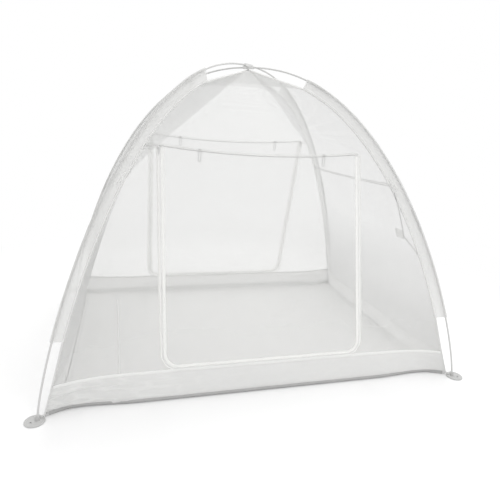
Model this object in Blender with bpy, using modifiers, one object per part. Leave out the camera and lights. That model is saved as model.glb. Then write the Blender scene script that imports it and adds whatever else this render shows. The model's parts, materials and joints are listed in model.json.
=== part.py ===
"""Free-standing dome mosquito net on two crossed shock-corded rods.

Frame: +X to the right along the long side, +Y from the front door to the back door, +Z up.
The origin is on the ground, midway between the four feet.
"""

import math

import bmesh
import bpy
from mathutils import Matrix, Vector

# Rods
foot_span_across = 2.0
foot_span_deep = 1.5
arch_height = 1.52
arch_reach_power = 2.23
arch_rise_power = 1.26
rod_diameter = 0.0085
rod_wall = 0.0023
rod_crossing_gap = 0.0012
rod_end_height = 0.0075
sections_per_rod = 5
stations_per_half = 20
rod_sides = 10
section_end_gap = 0.0012
shock_cord_diameter = 0.0025
ferrule_length = 0.104
ferrule_wall = 0.0009
ferrule_clearance = 0.0006
tip_length = 0.018
tip_wall = 0.0010
tip_floor = 0.0015
tip_clearance = 0.0004

# Feet
foot_radius = 0.040
foot_plate = 0.0045
foot_rim_rise = 0.0020
foot_rim_width = 0.0045
foot_setback = 0.012
socket_radius = 0.0098
socket_height = 0.020
socket_clearance = 0.0004
peg_hole_radius = 0.0038
peg_collar_width = 0.0028
peg_collar_rise = 0.0015
peg_hole_offset = 0.028
slot_offset = 0.0185
slot_length = 0.0105
slot_width = 0.0042
strap_turn_height = 0.014
strap_slot_clearance = 0.0010
strap_end_height = 0.0020

# Apex clip
clip_length = 0.060
clip_width = 0.017
clip_cover = 0.0026
clip_bore_clearance = 0.0004
clip_neck_radius = 0.006
clip_flange_radius = 0.019
clip_flange = 0.0012

# Net
net_thickness = 0.0012
seam_gap = 0.0006
peak_drop = 0.0265
peak_opening = 0.016
sleeve_depth = 0.050
sleeve_cloth = 0.0009
sleeve_bore_radius = 0.0075
sleeve_layer_gap = 0.0009
sleeve_tuck = 0.005
sleeve_top_share = 0.264
sleeve_bottom_share = 0.2105
band_top = 0.145
floor_lift = 0.0008
floor_thickness = 0.0010
band_corner_inset = 0.078
strap_foot_inset = 0.030
long_wall_out_share = 0.92
long_seam_out_share = 0.5333
short_wall_out_share = 0.925
short_seam_out_share = 0.625
short_seam_up_share = 0.6283
short_wall_slack = 0.030
front_seam_up_share = 0.7237
back_seam_up_share = 0.7467
seam_sag = 0.028
roof_curve_power = 2.0
wall_curve_power = 1.5
hem_curve_power = 6.0
hem_fade_height = 0.12
side_curve_power = 2.2
corner_slope_share = 0.72

# Doors
door_side_margin = 0.0385
door_corner_radius = 0.12
door_gap = 0.0060
door_top_gap = 0.0010
flat_margin = 0.013
tape_top_gap = 0.003
wall_edge_gap = 0.0040

# Tapes, zips and fittings
tape_thickness = 0.0010
tape_lift = 0.0003
seam_tape_width = 0.014
zip_chain_half = 0.0025
zip_tape_width = 0.014
edge_tape_width = 0.015
binding_width = 0.010
binding_overlap = 0.030
seam_tape_margin = 0.030
seam_tape_lift = 0.0008
seam_tape_start = 0.0015
strap_width = 0.011
side_tie_knot = 0.012
side_tie_tail = 0.034
side_tie_width = 0.0055
side_tie_cloth = 0.0010
side_tie_setback = 0.003
slider_length = 0.014
slider_drop = 0.012
slider_width = 0.0070
slider_plate = 0.0014
slider_bridge = 0.0010
slider_clearance = 0.0005
bail_radius = 0.0007
bail_rise = 0.0026
bail_post = 0.0009
pull_length = 0.026
pull_width = 0.0058
pull_thickness = 0.0012
eye_radius = 0.0020
eye_bore = 0.0011
eye_width = 0.0028
loop_cord_diameter = 0.0032
loop_length = 0.055
loop_width = 0.015
loop_place = 0.31
cut_overrun = 0.004
weld_distance = 0.00001
probe = 0.0005

# Directions of the four corners, as shares of the distance from the middle
half_across = foot_span_across / 2
half_deep = foot_span_deep / 2
half_diagonal = math.hypot(half_across, half_deep)
across_share = half_across / half_diagonal
deep_share = half_deep / half_diagonal
corners = {
    "front_left": Vector((-across_share, -deep_share, 0)),
    "front_right": Vector((across_share, -deep_share, 0)),
    "back_right": Vector((across_share, deep_share, 0)),
    "back_left": Vector((-across_share, deep_share, 0)),
}
up = Vector((0, 0, 1))

# Reaches and heights of the net's seams, as shares of the feet's spans and the arch's height
sleeve_top_reach = half_diagonal * sleeve_top_share
sleeve_bottom_height = arch_height * sleeve_bottom_share
long_wall_reach = half_deep * long_wall_out_share
long_seam_reach = half_deep * long_seam_out_share
short_wall_reach = half_across * short_wall_out_share
short_seam_reach = half_across * short_seam_out_share
short_seam_height = arch_height * short_seam_up_share
front_seam_height = arch_height * front_seam_up_share
back_seam_height = arch_height * back_seam_up_share

# The upper rod runs front left to back right, the lower one passes under it
rod_step = rod_diameter + rod_crossing_gap
rods = {
    "a": ("front_left", arch_height),
    "b": ("front_right", arch_height - rod_step),
}
middle_height = arch_height - rod_step / 2


def clear_scene():
    for item in list(bpy.data.objects):
        bpy.data.objects.remove(item, do_unlink=True)


def new_collection(name):
    collection = bpy.data.collections.new(name)
    bpy.context.scene.collection.children.link(collection)
    return collection


clear_scene()
parts = new_collection("mosquito_net_tent")
cutters = new_collection("cutters")


def material(name, colour, roughness, metallic=0.0):
    made = bpy.data.materials.new(name)
    made.use_nodes = True
    shader = made.node_tree.nodes["Principled BSDF"]
    shader.inputs["Base Color"].default_value = (*colour, 1)
    shader.inputs["Roughness"].default_value = roughness
    shader.inputs["Metallic"].default_value = metallic
    return made


white_net = material("white_net", (0.86, 0.86, 0.85), 0.85)
white_cloth = material("white_cloth", (0.82, 0.82, 0.81), 0.80)
white_tape = material("white_tape", (0.88, 0.88, 0.87), 0.75)
grey_rod = material("grey_rod", (0.62, 0.62, 0.61), 0.40)
white_plastic = material("white_plastic", (0.72, 0.72, 0.71), 0.45)
zinc = material("zinc", (0.70, 0.70, 0.70), 0.35, 0.8)
elastic = material("elastic", (0.80, 0.80, 0.79), 0.85)


# The arch, in the vertical plane of a diagonal: reach from the middle, and height
def arch_point(angle, height):
    reach = half_diagonal * max(math.cos(angle), 0) ** (2 / arch_reach_power)
    rise = math.sin(angle) ** (2 / arch_rise_power)
    return reach, rod_end_height + (height - rod_end_height) * rise


def even_angles():
    """Angles from the foot to the apex that split the middle arch into equal lengths."""
    fine_steps = 40 * stations_per_half
    angles = [math.pi / 2 * step / fine_steps for step in range(fine_steps + 1)]
    points = [arch_point(angle, middle_height) for angle in angles]
    lengths = [0.0]
    for first, second in zip(points, points[1:]):
        lengths.append(lengths[-1] + math.dist(first, second))
    even = []
    place = 0
    for station in range(stations_per_half + 1):
        wanted = lengths[-1] * station / stations_per_half
        while place < fine_steps - 1 and lengths[place + 1] < wanted:
            place += 1
        part = (wanted - lengths[place]) / (lengths[place + 1] - lengths[place])
        even.append(angles[place] + min(part, 1) * (angles[place + 1] - angles[place]))
    return even, lengths[-1] / stations_per_half


station_angles, station_length = even_angles()


def station_point(station, height):
    """Reach and height at a whole station, counted from one foot over the apex to the other."""
    if station <= stations_per_half:
        return arch_point(station_angles[station], height)
    reach, rise = arch_point(station_angles[2 * stations_per_half - station], height)
    return -reach, rise


def between(first, second, share):
    return tuple(a + (b - a) * share for a, b in zip(first, second))


def rod_point(place, height):
    """Reach and height at any place along a rod, where a whole number is a station."""
    low = min(int(math.floor(place)), 2 * stations_per_half - 1)
    return between(station_point(low, height), station_point(low + 1, height), place - low)


def run(start, end, height):
    """The stretch of a rod's line between two places, with the stations inside it."""
    inner = range(int(math.floor(start)) + 1, int(math.ceil(end)))
    return [rod_point(place, height) for place in [start, *inner, end]]


def in_space(direction, point):
    return direction * point[0] + up * point[1]


def place_where(value, low, high, wanted):
    """The place along the arch where a steadily changing value reaches the wanted one."""
    rising = value(high) > value(low)
    for _ in range(40):
        middle = (low + high) / 2
        if (value(middle) < wanted) == rising:
            low = middle
        else:
            high = middle
    return low


def inward(place):
    """The direction from the middle arch into the tent, square to the arch."""
    low = rod_point(max(place - 1 / 2, 0), middle_height)
    high = rod_point(place + 1 / 2, middle_height)
    length = math.dist(low, high)
    return (low[1] - high[1]) / length, (high[0] - low[0]) / length


def along(point, direction, distance):
    return point[0] + direction[0] * distance, point[1] + direction[1] * distance


def net_corner(place):
    """The seam between two net walls, where the sleeve's inner edge is sewn in."""
    return along(rod_point(place, middle_height), inward(place), sleeve_depth)


sleeve_start = place_where(lambda place: rod_point(place, middle_height)[1], 0,
                           stations_per_half, sleeve_bottom_height)
sleeve_end = place_where(lambda place: rod_point(place, middle_height)[0], 0,
                         stations_per_half, sleeve_top_reach)
sleeve_places = [sleeve_start,
                 *range(int(sleeve_start) + 1, int(math.ceil(sleeve_end))), sleeve_end]
peak_height = arch_height - peak_drop
floor_top = floor_lift + floor_thickness
band_bottom = floor_top + seam_gap
corner_line = [
    (half_diagonal - strap_foot_inset, band_bottom),
    (half_diagonal - band_corner_inset, band_top),
    *[net_corner(place) for place in sleeve_places],
    (peak_opening, peak_height),
]


def corner_reach(height):
    """Reach of the net's corner seam at a height."""
    if height <= corner_line[0][1]:
        return corner_line[0][0]
    for first, second in zip(corner_line, corner_line[1:]):
        if height <= second[1]:
            share = (height - first[1]) / (second[1] - first[1])
            return first[0] + (second[0] - first[0]) * share
    return corner_line[-1][0]


# A wall's edge runs beside the sleeve's two layers, square to the corner's upright plane
sleeve_half_thickness = sleeve_layer_gap / 2 + sleeve_cloth
edge_offset = sleeve_half_thickness + seam_gap + net_thickness / 2
corner_slope = corner_slope_share * deep_share / across_share


def long_edge(height):
    """Where a long wall meets a corner, as distances across and deep from the middle."""
    reach = corner_reach(height)
    return (reach * across_share - edge_offset * deep_share,
            reach * deep_share + edge_offset * across_share)


def short_edge(height):
    """Where a short wall meets a corner, as distances across and deep from the middle."""
    reach = corner_reach(height)
    return (reach * across_share + edge_offset * deep_share,
            reach * deep_share - edge_offset * across_share)


# Each long wall's direction and the height of its door's top seam
long_sides = {"front": (1, front_seam_height), "back": (-1, back_seam_height)}
door_half_width = long_edge(back_seam_height)[0] - door_side_margin
flat_half_width = door_half_width + flat_margin


def wall_slope(side):
    """The lean of a long wall's flat part from plumb."""
    return math.atan2(long_wall_reach - long_seam_reach, long_sides[side][1])


def seam_line(side, x):
    """Height of a door's top seam, which sags between the door's upper corners."""
    share = min(1.0, abs(x) / door_half_width)
    return long_sides[side][1] - seam_sag * (1 - share ** 2)


def flat_reach(side, x, height):
    """Distance from the middle to a long wall's flat part: taut from hem to seam to peak."""
    seam = seam_line(side, x)

    def lower(level):
        return long_wall_reach - math.tan(wall_slope(side)) * level

    if height <= seam:
        return lower(height)
    share = (height - seam) / (peak_height - seam)
    return lower(seam) + (long_edge(peak_height)[1] - lower(seam)) * share


def on_long_wall(side, x, height):
    """A point on a long wall; x counts to the right as seen from outside the front."""
    turn, seam_height = long_sides[side]
    edge_x, edge_y = long_edge(height)
    flat_y = flat_reach(side, x, height)
    if flat_y >= edge_y:
        return Vector((turn * x, -turn * edge_y, height))
    flat_x = flat_half_width
    power = wall_curve_power + hem_curve_power * math.exp(-height / hem_fade_height)
    if height > seam_height:
        flat_x *= (peak_height - height) / (peak_height - seam_height)
        power = roof_curve_power
    depth = edge_y - flat_y
    flat_x = max(0.0, min(flat_x, edge_x - depth / corner_slope))
    power = max(1.0, min(power, corner_slope * (edge_x - flat_x) / depth))
    share = max(0.0, min(1.0, (abs(x) - flat_x) / (edge_x - flat_x)))
    return Vector((turn * x, -turn * (flat_y + depth * share ** power), height))


def short_wall(turn, y, height):
    """A point on a short wall; turn is 1 on the right and -1 on the left."""
    edge_x, edge_y = short_edge(height)
    if height <= short_seam_height:
        share = height / short_seam_height
        middle_x = short_wall_reach + (short_seam_reach - short_wall_reach) * share
        middle_x += short_wall_slack * 4 * share * (1 - share)
    else:
        share = (height - short_seam_height) / (peak_height - short_seam_height)
        middle_x = short_seam_reach + (short_edge(peak_height)[0] - short_seam_reach) * share
    depth = edge_x - middle_x
    if depth <= 0:
        return Vector((turn * edge_x, turn * y, height))
    power = side_curve_power + hem_curve_power * math.exp(-height / hem_fade_height)
    limit = corner_slope_share * across_share / deep_share * edge_y / depth
    power = max(1.0, min(power, limit))
    share = min(1.0, abs(y) / edge_y)
    return Vector((turn * (middle_x + depth * share ** power), turn * y, height))


def lifted(spot, across, height, lift):
    """A point off a wall, moved out of the tent by lift, square to the wall."""
    centre = spot(across, height)
    normal = (spot(across + probe, height) - centre).cross(spot(across, height + probe) - centre)
    return centre + normal.normalized() * lift


def seam_strip(roof, columns, rows, left_out=0):
    """A tape just above a roof panel's lower edge, on its inner face."""
    lift = (net_thickness + tape_thickness) / 2 + seam_tape_lift

    def place(u, v):
        column = left_out + round(u * (columns - 2 * left_out))
        low, high = roof(column / columns, 0), roof(column / columns, 1 / rows)
        left, right = max(column - 1, 0) / columns, min(column + 1, columns) / columns
        normal = (roof(right, 0) - roof(left, 0)).cross(high - low).normalized()
        if column in (0, columns):
            inner = right if column == 0 else left
            share = seam_tape_margin / (roof(inner, 0) - low).length
            low = low.lerp(roof(inner, 0), share)
            high = high.lerp(roof(inner, 1 / rows), share)
        rise = seam_tape_start + seam_tape_width * v
        return low + (high - low).normalized() * rise - normal * lift
    return place


def link(item, surface, collection=parts):
    item.data.materials.append(surface)
    for holder in list(item.users_collection):
        holder.objects.unlink(item)
    collection.objects.link(item)
    return item


def smooth(item):
    item.data.shade_smooth()
    item.data.set_sharp_from_angle(angle=math.radians(40))
    return item


def grid_object(name, columns, rows, place, surface, thickness=net_thickness):
    """A cloth sheet: a grid laid onto a surface by place(u, v), thickened by Solidify."""
    mesh = bpy.data.meshes.new(name)
    work = bmesh.new()
    bmesh.ops.create_grid(work, x_segments=columns, y_segments=rows, size=1)
    for vertex in work.verts:
        vertex.co = place((vertex.co.x + 1) / 2, (vertex.co.y + 1) / 2)
    work.to_mesh(mesh)
    work.free()
    mesh.shade_smooth()
    item = link(bpy.data.objects.new(name, mesh), surface)
    cloth = item.modifiers.new("Solidify", "SOLIDIFY")
    cloth.thickness = thickness
    cloth.offset = 0
    return item


def curve_object(name, points, radius, surface, closed=False, fine=2):
    """A round bar, cord or closed loop through points."""
    curve = bpy.data.curves.new(name, "CURVE")
    curve.dimensions = "3D"
    curve.bevel_depth = radius
    curve.bevel_resolution = fine
    curve.use_fill_caps = not closed
    spline = curve.splines.new("POLY")
    spline.points.add(len(points) - 1)
    for knot, point in zip(spline.points, points):
        knot.co = (*point, 1)
    spline.use_cyclic_u = closed
    return link(bpy.data.objects.new(name, curve), surface)


def as_mesh(item):
    """The same object as a plain mesh, with a curve's caps welded."""
    bpy.context.view_layer.update()
    evaluated = item.evaluated_get(bpy.context.evaluated_depsgraph_get())
    mesh = bpy.data.meshes.new_from_object(evaluated)
    work = bmesh.new()
    work.from_mesh(mesh)
    bmesh.ops.remove_doubles(work, verts=work.verts, dist=weld_distance)
    work.to_mesh(mesh)
    work.free()
    made = bpy.data.objects.new(item.name, mesh)
    made.matrix_world = item.matrix_world
    name = item.name
    bpy.data.objects.remove(item, do_unlink=True)
    parts.objects.link(made)
    made.name = name
    return smooth(made)


def outline_object(name, points, thickness, surface):
    """A flat plate from its outline, centred on its own plane."""
    curve = bpy.data.curves.new(name, "CURVE")
    curve.dimensions = "2D"
    curve.fill_mode = "BOTH"
    curve.extrude = thickness / 2
    spline = curve.splines.new("POLY")
    spline.points.add(len(points) - 1)
    for knot, point in zip(spline.points, points):
        knot.co = (point[0], point[1], 0, 1)
    spline.use_cyclic_u = True
    return link(bpy.data.objects.new(name, curve), surface)


def in_plane(item, origin, sideways, upward):
    """Stand a flat piece up: its own X along sideways and its own Y along upward."""
    normal = sideways.cross(upward)
    item.matrix_world = Matrix((
        (sideways.x, upward.x, normal.x, origin.x),
        (sideways.y, upward.y, normal.y, origin.y),
        (sideways.z, upward.z, normal.z, origin.z),
        (0, 0, 0, 1),
    ))
    return item


def primitive(name, surface, build):
    mesh = bpy.data.meshes.new(name)
    work = bmesh.new()
    build(work)
    work.to_mesh(mesh)
    work.free()
    return link(bpy.data.objects.new(name, mesh), surface)


def box(name, size, surface):
    def build(work):
        bmesh.ops.create_cube(work, size=1)
        bmesh.ops.scale(work, verts=work.verts, vec=size)
    return primitive(name, surface, build)


def cylinder(name, radius, length, surface, sides=16):
    def build(work):
        bmesh.ops.create_cone(work, cap_ends=True, segments=sides, radius1=radius,
                              radius2=radius, depth=length)
    return smooth(primitive(name, surface, build))


def turned(name, profile, surface, sides=24):
    """A solid turned about Z from a profile that runs down its outer side."""
    mesh = bpy.data.meshes.new(name)
    mesh.from_pydata([(x, 0, z) for x, z in profile],
                     [(step, step + 1) for step in range(len(profile) - 1)], [])
    item = link(bpy.data.objects.new(name, mesh), surface)
    turn = item.modifiers.new("Screw", "SCREW")
    turn.steps = sides
    turn.render_steps = sides
    turn.use_merge_vertices = True
    turn.merge_threshold = weld_distance
    return item


def combine(item, other, operation):
    """Join or cut with another mesh, which stays as a hidden guide."""
    other.hide_render = True
    other.display_type = "WIRE"
    parts.objects.unlink(other)
    cutters.objects.link(other)
    step = item.modifiers.new(operation.title(), "BOOLEAN")
    step.operation = operation
    step.object = other
    return item


def aim(item, origin, direction):
    """Put an upright piece's middle at origin and its own Z along direction."""
    item.matrix_world = (Matrix.Translation(origin)
                         @ direction.to_track_quat("Z", "Y").to_matrix().to_4x4())
    return item


# Rods: hollow sections on an elastic cord; a ferrule is crimped on each but the last
stations_per_section = 2 * stations_per_half // sections_per_rod
last_station = 2 * stations_per_half
tip_radius = rod_diameter / 2 + tip_clearance + tip_wall
rod_bore_radius = rod_diameter / 2 - rod_wall
socket_bore_radius = rod_diameter / 2 + ferrule_clearance


def rod_bar(name, rod, start, end, radius, fine=2):
    """A solid bar along a rod's line, between two places on it."""
    corner, height = rods[rod]
    points = [in_space(corners[corner], point) for point in run(start, end, height)]
    return as_mesh(curve_object(name, points, radius, grey_rod, fine=fine))


def end_axis(rod, last):
    """A rod's end point and its direction away from the ground there."""
    corner, height = rods[rod]
    places = (last_station, last_station - 1) if last else (0, 1)
    first, second = [in_space(corners[corner], rod_point(place, height)) for place in places]
    return first, (second - first).normalized()


def rod_ring(rod, place, radius):
    """A ring round a rod's line; at a station it lies halfway between both directions."""
    corner, height = rods[rod]
    low = min(max(int(math.floor(place)), 0), last_station - 1)
    centre = Vector(station_point(low, height))
    ahead = Vector(station_point(low + 1, height)) - centre
    centre += ahead * (place - low)
    tangent = ahead.normalized()
    if place == low and low > 0:
        behind = Vector(station_point(low, height)) - Vector(station_point(low - 1, height))
        tangent = (tangent + behind.normalized()).normalized()
    across = up.cross(corners[corner])
    ring = []
    for side in range(rod_sides):
        angle = 2 * math.pi * side / rod_sides
        rise = radius * math.cos(angle)
        point = (centre.x - tangent.y * rise, centre.y + tangent.x * rise)
        ring.append(in_space(corners[corner], point) + across * (radius * math.sin(angle)))
    return ring


def swept_object(name, rod, profile, closed, surface):
    """A solid round a rod's line, from a profile of places along it and radii."""
    stops = list(profile)
    if closed:
        stops.append(profile[0])
    full = [stops[0]]
    for (from_place, from_radius), (to_place, to_radius) in zip(stops, stops[1:]):
        low, high = min(from_place, to_place), max(from_place, to_place)
        inner = [station for station in range(last_station + 1) if low < station < high]
        if to_place < from_place:
            inner.reverse()
        for station in inner:
            share = (station - from_place) / (to_place - from_place)
            full.append((station, from_radius + (to_radius - from_radius) * share))
        full.append((to_place, to_radius))
    if closed:
        full.pop()
    work = bmesh.new()
    rings = [[work.verts.new(point) for point in rod_ring(rod, *stop)] for stop in full]
    pairs = list(zip(rings, rings[1:]))
    if closed:
        pairs.append((rings[-1], rings[0]))
    else:
        work.faces.new(rings[0])
        work.faces.new(rings[-1])
    for first, second in pairs:
        for side in range(rod_sides):
            after = (side + 1) % rod_sides
            work.faces.new((first[side], first[after], second[after], second[side]))
    bmesh.ops.recalc_face_normals(work, faces=work.faces)
    mesh = bpy.data.meshes.new(name)
    work.to_mesh(mesh)
    work.free()
    return smooth(link(bpy.data.objects.new(name, mesh), surface))


def build_section(rod, number):
    """A hollow length of rod, with a ferrule on its far end or a cap on the rod's own end."""
    name = f"rod_{rod}_section_{number + 1}"
    gap = section_end_gap / 2 / station_length
    half = ferrule_length / 2 / station_length
    tip_inside = (tip_length - tip_floor) / station_length
    tip_outside = tip_floor / station_length
    rod_radius = rod_diameter / 2
    start = number * stations_per_section
    joint = start + stations_per_section
    is_last = number == sections_per_rod - 1
    if number == 0:
        profile = [
            (-tip_outside, tip_radius),
            (tip_inside, tip_radius),
            (tip_inside, rod_radius),
        ]
    else:
        profile = [(start + gap, rod_bore_radius), (start + gap, rod_radius)]
    if is_last:
        profile = [
            (joint, rod_bore_radius),
            *profile,
            (joint - tip_inside, rod_radius),
            (joint - tip_inside, tip_radius),
            (joint + tip_outside, tip_radius),
        ]
    else:
        profile += [
            (joint - half, rod_radius),
            (joint - half, socket_bore_radius + ferrule_wall),
            (joint + half, socket_bore_radius + ferrule_wall),
            (joint + half, socket_bore_radius),
            (joint - gap, socket_bore_radius),
            (joint - gap, rod_bore_radius),
        ]
    if number == 0:
        profile.append((start, rod_bore_radius))
    swept_object(name, rod, profile, 0 < number < sections_per_rod - 1, grey_rod)


def build_shock_cord(rod):
    corner, height = rods[rod]
    slack = section_end_gap / station_length
    points = run(slack, last_station - slack, height)
    curve_object(f"shock_cord_{rod}", [in_space(corners[corner], point) for point in points],
                 shock_cord_diameter / 2, elastic, fine=1)


def corner_rod(corner):
    """The rod that stands at a corner, and whether that is its last end."""
    for rod, (first, _) in rods.items():
        if (corners[first] - corners[corner]).length < weld_distance:
            return rod, False
        if (corners[first] + corners[corner]).length < weld_distance:
            return rod, True
    return None


def build_foot(corner):
    """A round ground plate with a rim, a tilted rod socket, a peg hole and a strap slot."""
    direction = corners[corner]
    origin, rod_direction = end_axis(*corner_rod(corner))
    rim_top = foot_plate + foot_rim_rise
    turn = Matrix.Rotation(math.atan2(direction.y, direction.x), 4, "Z")
    foot = turned(f"foot_{corner}", [
        (0, foot_plate),
        (foot_radius - 2 * foot_rim_width, foot_plate),
        (foot_radius - foot_rim_width, rim_top),
        (foot_radius - foot_rim_width / 2, rim_top),
        (foot_radius, foot_plate),
        (foot_radius, 0),
        (0, 0),
    ], white_plastic)
    foot.matrix_world = Matrix.Translation(direction * (half_diagonal + foot_setback)) @ turn
    socket = cylinder(f"socket_{corner}", socket_radius, socket_height, white_plastic, 16)
    lift = (foot_plate / 2 - origin.z) / rod_direction.z
    aim(socket, origin + rod_direction * (lift + socket_height / 2), rod_direction)
    combine(foot, socket, "UNION")
    collar_height = foot_plate / 2 + peg_collar_rise
    collar = cylinder(f"peg_collar_{corner}", peg_hole_radius + peg_collar_width, collar_height,
                      white_plastic, 12)
    peg_place = direction * (half_diagonal + peg_hole_offset)
    aim(collar, peg_place + up * (foot_plate / 2 + collar_height / 2), up)
    combine(foot, collar, "UNION")
    bore = cylinder(f"socket_bore_{corner}", tip_radius + socket_clearance,
                    socket_height + cut_overrun, white_plastic, 16)
    depth = tip_floor + socket_clearance
    aim(bore, origin + rod_direction * ((socket_height + cut_overrun) / 2 - depth), rod_direction)
    combine(foot, bore, "DIFFERENCE")
    peg_hole = cylinder(f"peg_hole_{corner}", peg_hole_radius, 2 * rim_top + cut_overrun,
                        white_plastic, 12)
    aim(peg_hole, peg_place, up)
    combine(foot, peg_hole, "DIFFERENCE")
    slot = box(f"strap_slot_{corner}", (slot_length, slot_width, 2 * rim_top + cut_overrun),
               white_plastic)
    slot.matrix_world = Matrix.Translation(direction * (half_diagonal - slot_offset)) @ turn
    combine(foot, slot, "DIFFERENCE")


def build_apex_clip():
    """A clip that holds both rods where they cross, with a flange for the net's peak."""
    block_height = rod_diameter + 2 * clip_cover
    blocks = []
    for rod, (corner, height) in rods.items():
        direction = corners[corner]
        block = box("apex_clip" if not blocks else f"clip_block_{rod}",
                    (clip_length, clip_width, block_height), white_plastic)
        block.matrix_world = (Matrix.Translation(up * height)
                              @ Matrix.Rotation(math.atan2(direction.y, direction.x), 4, "Z"))
        blocks.append(block)
    clip = blocks[0]
    combine(clip, blocks[1], "UNION")
    block_bottom = arch_height - rod_step - block_height / 2
    flange_middle = peak_height + seam_gap + clip_flange / 2
    neck_top = block_bottom + clip_cover / 2
    neck = cylinder("clip_neck", clip_neck_radius, neck_top - flange_middle, white_plastic)
    neck.location = up * ((neck_top + flange_middle) / 2)
    combine(clip, neck, "UNION")
    flange = cylinder("clip_flange", clip_flange_radius, clip_flange, white_plastic, 24)
    flange.location = up * flange_middle
    combine(clip, flange, "UNION")
    reach = (clip_length + cut_overrun) / 2 / station_length
    for rod in rods:
        bore = rod_bar(f"clip_bore_{rod}", rod, stations_per_half - reach,
                       stations_per_half + reach, rod_diameter / 2 + clip_bore_clearance)
        combine(clip, bore, "DIFFERENCE")


def corner_plate(name, corner, points, thickness):
    """A flat strip in a corner's upright plane, from points of reach and height."""
    strip = outline_object(name, points, thickness, white_tape)
    return as_mesh(in_plane(strip, Vector((0, 0, 0)), corners[corner], up))


def peak_binding(corner):
    """The bound edge of the net from the sleeve's upper end to the apex clip."""
    low_place = sleeve_end - binding_overlap / station_length
    low = net_corner(low_place)
    side = inward(sleeve_end)
    clip_end = clip_flange_radius + seam_gap
    points = [
        along(low, side, -binding_width / 2),
        along(low, side, sleeve_tuck / 2),
        along(net_corner(sleeve_end), side, binding_width / 2),
        (clip_end, peak_height - binding_width / 2),
        (clip_end, peak_height + binding_width / 4),
        along(net_corner(sleeve_end), side, -binding_width / 2),
    ]
    return corner_plate(f"binding_{corner}", corner, points, 2 * sleeve_half_thickness)


def side_tie(corner):
    """A ribbon knotted round the sleeve at the end of a short wall's seam, with two tails."""
    place = place_where(lambda spot: net_corner(spot)[1], sleeve_start, sleeve_end,
                        short_seam_height)
    seam = net_corner(place)
    inner = inward(place)
    down = (-inner[1], inner[0])
    start = side_tie_setback
    end = side_tie_setback + side_tie_knot
    half = side_tie_knot / 2
    outline = [
        (start, -half),
        (end, -half),
        (end, half + side_tie_tail * 2 / 3),
        (end - side_tie_width, half + side_tie_tail * 2 / 3),
        (end - side_tie_width, half),
        (start + side_tie_width, half),
        (start + side_tie_width, half + side_tie_tail),
        (start, half + side_tie_tail),
    ]
    points = [along(along(seam, inner, -out), down, drop) for out, drop in outline]
    thickness = 2 * (sleeve_half_thickness + side_tie_cloth)
    return corner_plate(f"tie_{corner}", corner, points, thickness)


sleeve_bend_degrees = (60, 120, 180, 240, 300)


def build_sleeve(corner):
    """A rod sleeve: one strip folded round the rod, its two layers sewn into the corner seam."""
    direction = corners[corner]
    across = up.cross(direction)
    height = rods[corner_rod(corner)[0]][1]
    mid_radius = sleeve_bore_radius + sleeve_cloth / 2
    layer = (sleeve_layer_gap + sleeve_cloth) / 2
    steps = len(sleeve_places) - 1
    columns = len(sleeve_bend_degrees) + 3

    def place(u, v):
        spot = sleeve_places[round(v * steps)]
        centre = Vector(rod_point(spot, height))
        seam = Vector(net_corner(spot)) - centre
        depth = seam.length + sleeve_tuck
        profile = [(depth, layer), (mid_radius * 2, layer)]
        for degrees in sleeve_bend_degrees:
            bend = math.radians(degrees)
            profile.append((mid_radius * math.cos(bend), mid_radius * math.sin(bend)))
        profile += [(mid_radius * 2, -layer), (depth, -layer)]
        deep, side = profile[round(u * columns)]
        return in_space(direction, centre + seam.normalized() * deep) + across * side

    sleeve = grid_object(f"sleeve_{corner}", columns, steps, place, white_cloth, sleeve_cloth)
    combine(sleeve, peak_binding(corner), "UNION")
    combine(sleeve, side_tie(corner), "UNION")


def build_strap(corner):
    """The webbing at a corner's foot, from the sleeve's end down into the foot's slot."""
    inner = inward(sleeve_start)
    top = along(net_corner(sleeve_start), (-inner[1], inner[0]), seam_gap)
    tail = half_diagonal - slot_offset
    tail_half = slot_length / 2 - strap_slot_clearance
    bend = foot_plate + foot_rim_rise + strap_slot_clearance
    middle = corner_reach(band_top)
    low = corner_reach(strap_turn_height)
    half = strap_width / 2
    corner_plate(f"strap_{corner}", corner, [
        along(top, inner, sleeve_tuck),
        (middle - sleeve_tuck, band_top),
        (low - sleeve_tuck, strap_turn_height),
        (tail - tail_half, bend),
        (tail - tail_half, strap_end_height),
        (tail + tail_half, strap_end_height),
        (tail + tail_half, bend),
        (low + half, strap_turn_height),
        (middle + half, band_top),
        along(top, inner, -half),
    ], 2 * sleeve_half_thickness)


corner_rows_share = 0.3
door_columns = 8
roof_columns = 10
roof_rows = 8


def door_edge(height, inset):
    """Half width of the door's outline at a height, moved in by inset."""
    radius = door_corner_radius - inset
    drop = band_top + door_corner_radius - height
    if drop <= 0:
        return door_half_width - inset
    return door_half_width - door_corner_radius + math.sqrt(max(radius ** 2 - drop ** 2, 0))


def door_row(v, inset, high):
    """Heights of the rows: close in the rounded lower corner, even above it."""
    centre = band_top + door_corner_radius
    if v <= corner_rows_share:
        return centre - (door_corner_radius - inset) * math.cos(math.pi / 2 * v / corner_rows_share)
    return centre + (high - centre) * (v - corner_rows_share) / (1 - corner_rows_share)


def roof_level(v, low):
    """Heights of a roof panel's rows: the lowest carries the seam tape, the others are even."""
    row = v * roof_rows
    first = seam_tape_start + seam_tape_width + seam_gap
    high = peak_height - net_thickness
    if row <= 1:
        return low + first * row
    return low + first + (high - low - first) * (row - 1) / (roof_rows - 1)


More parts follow.
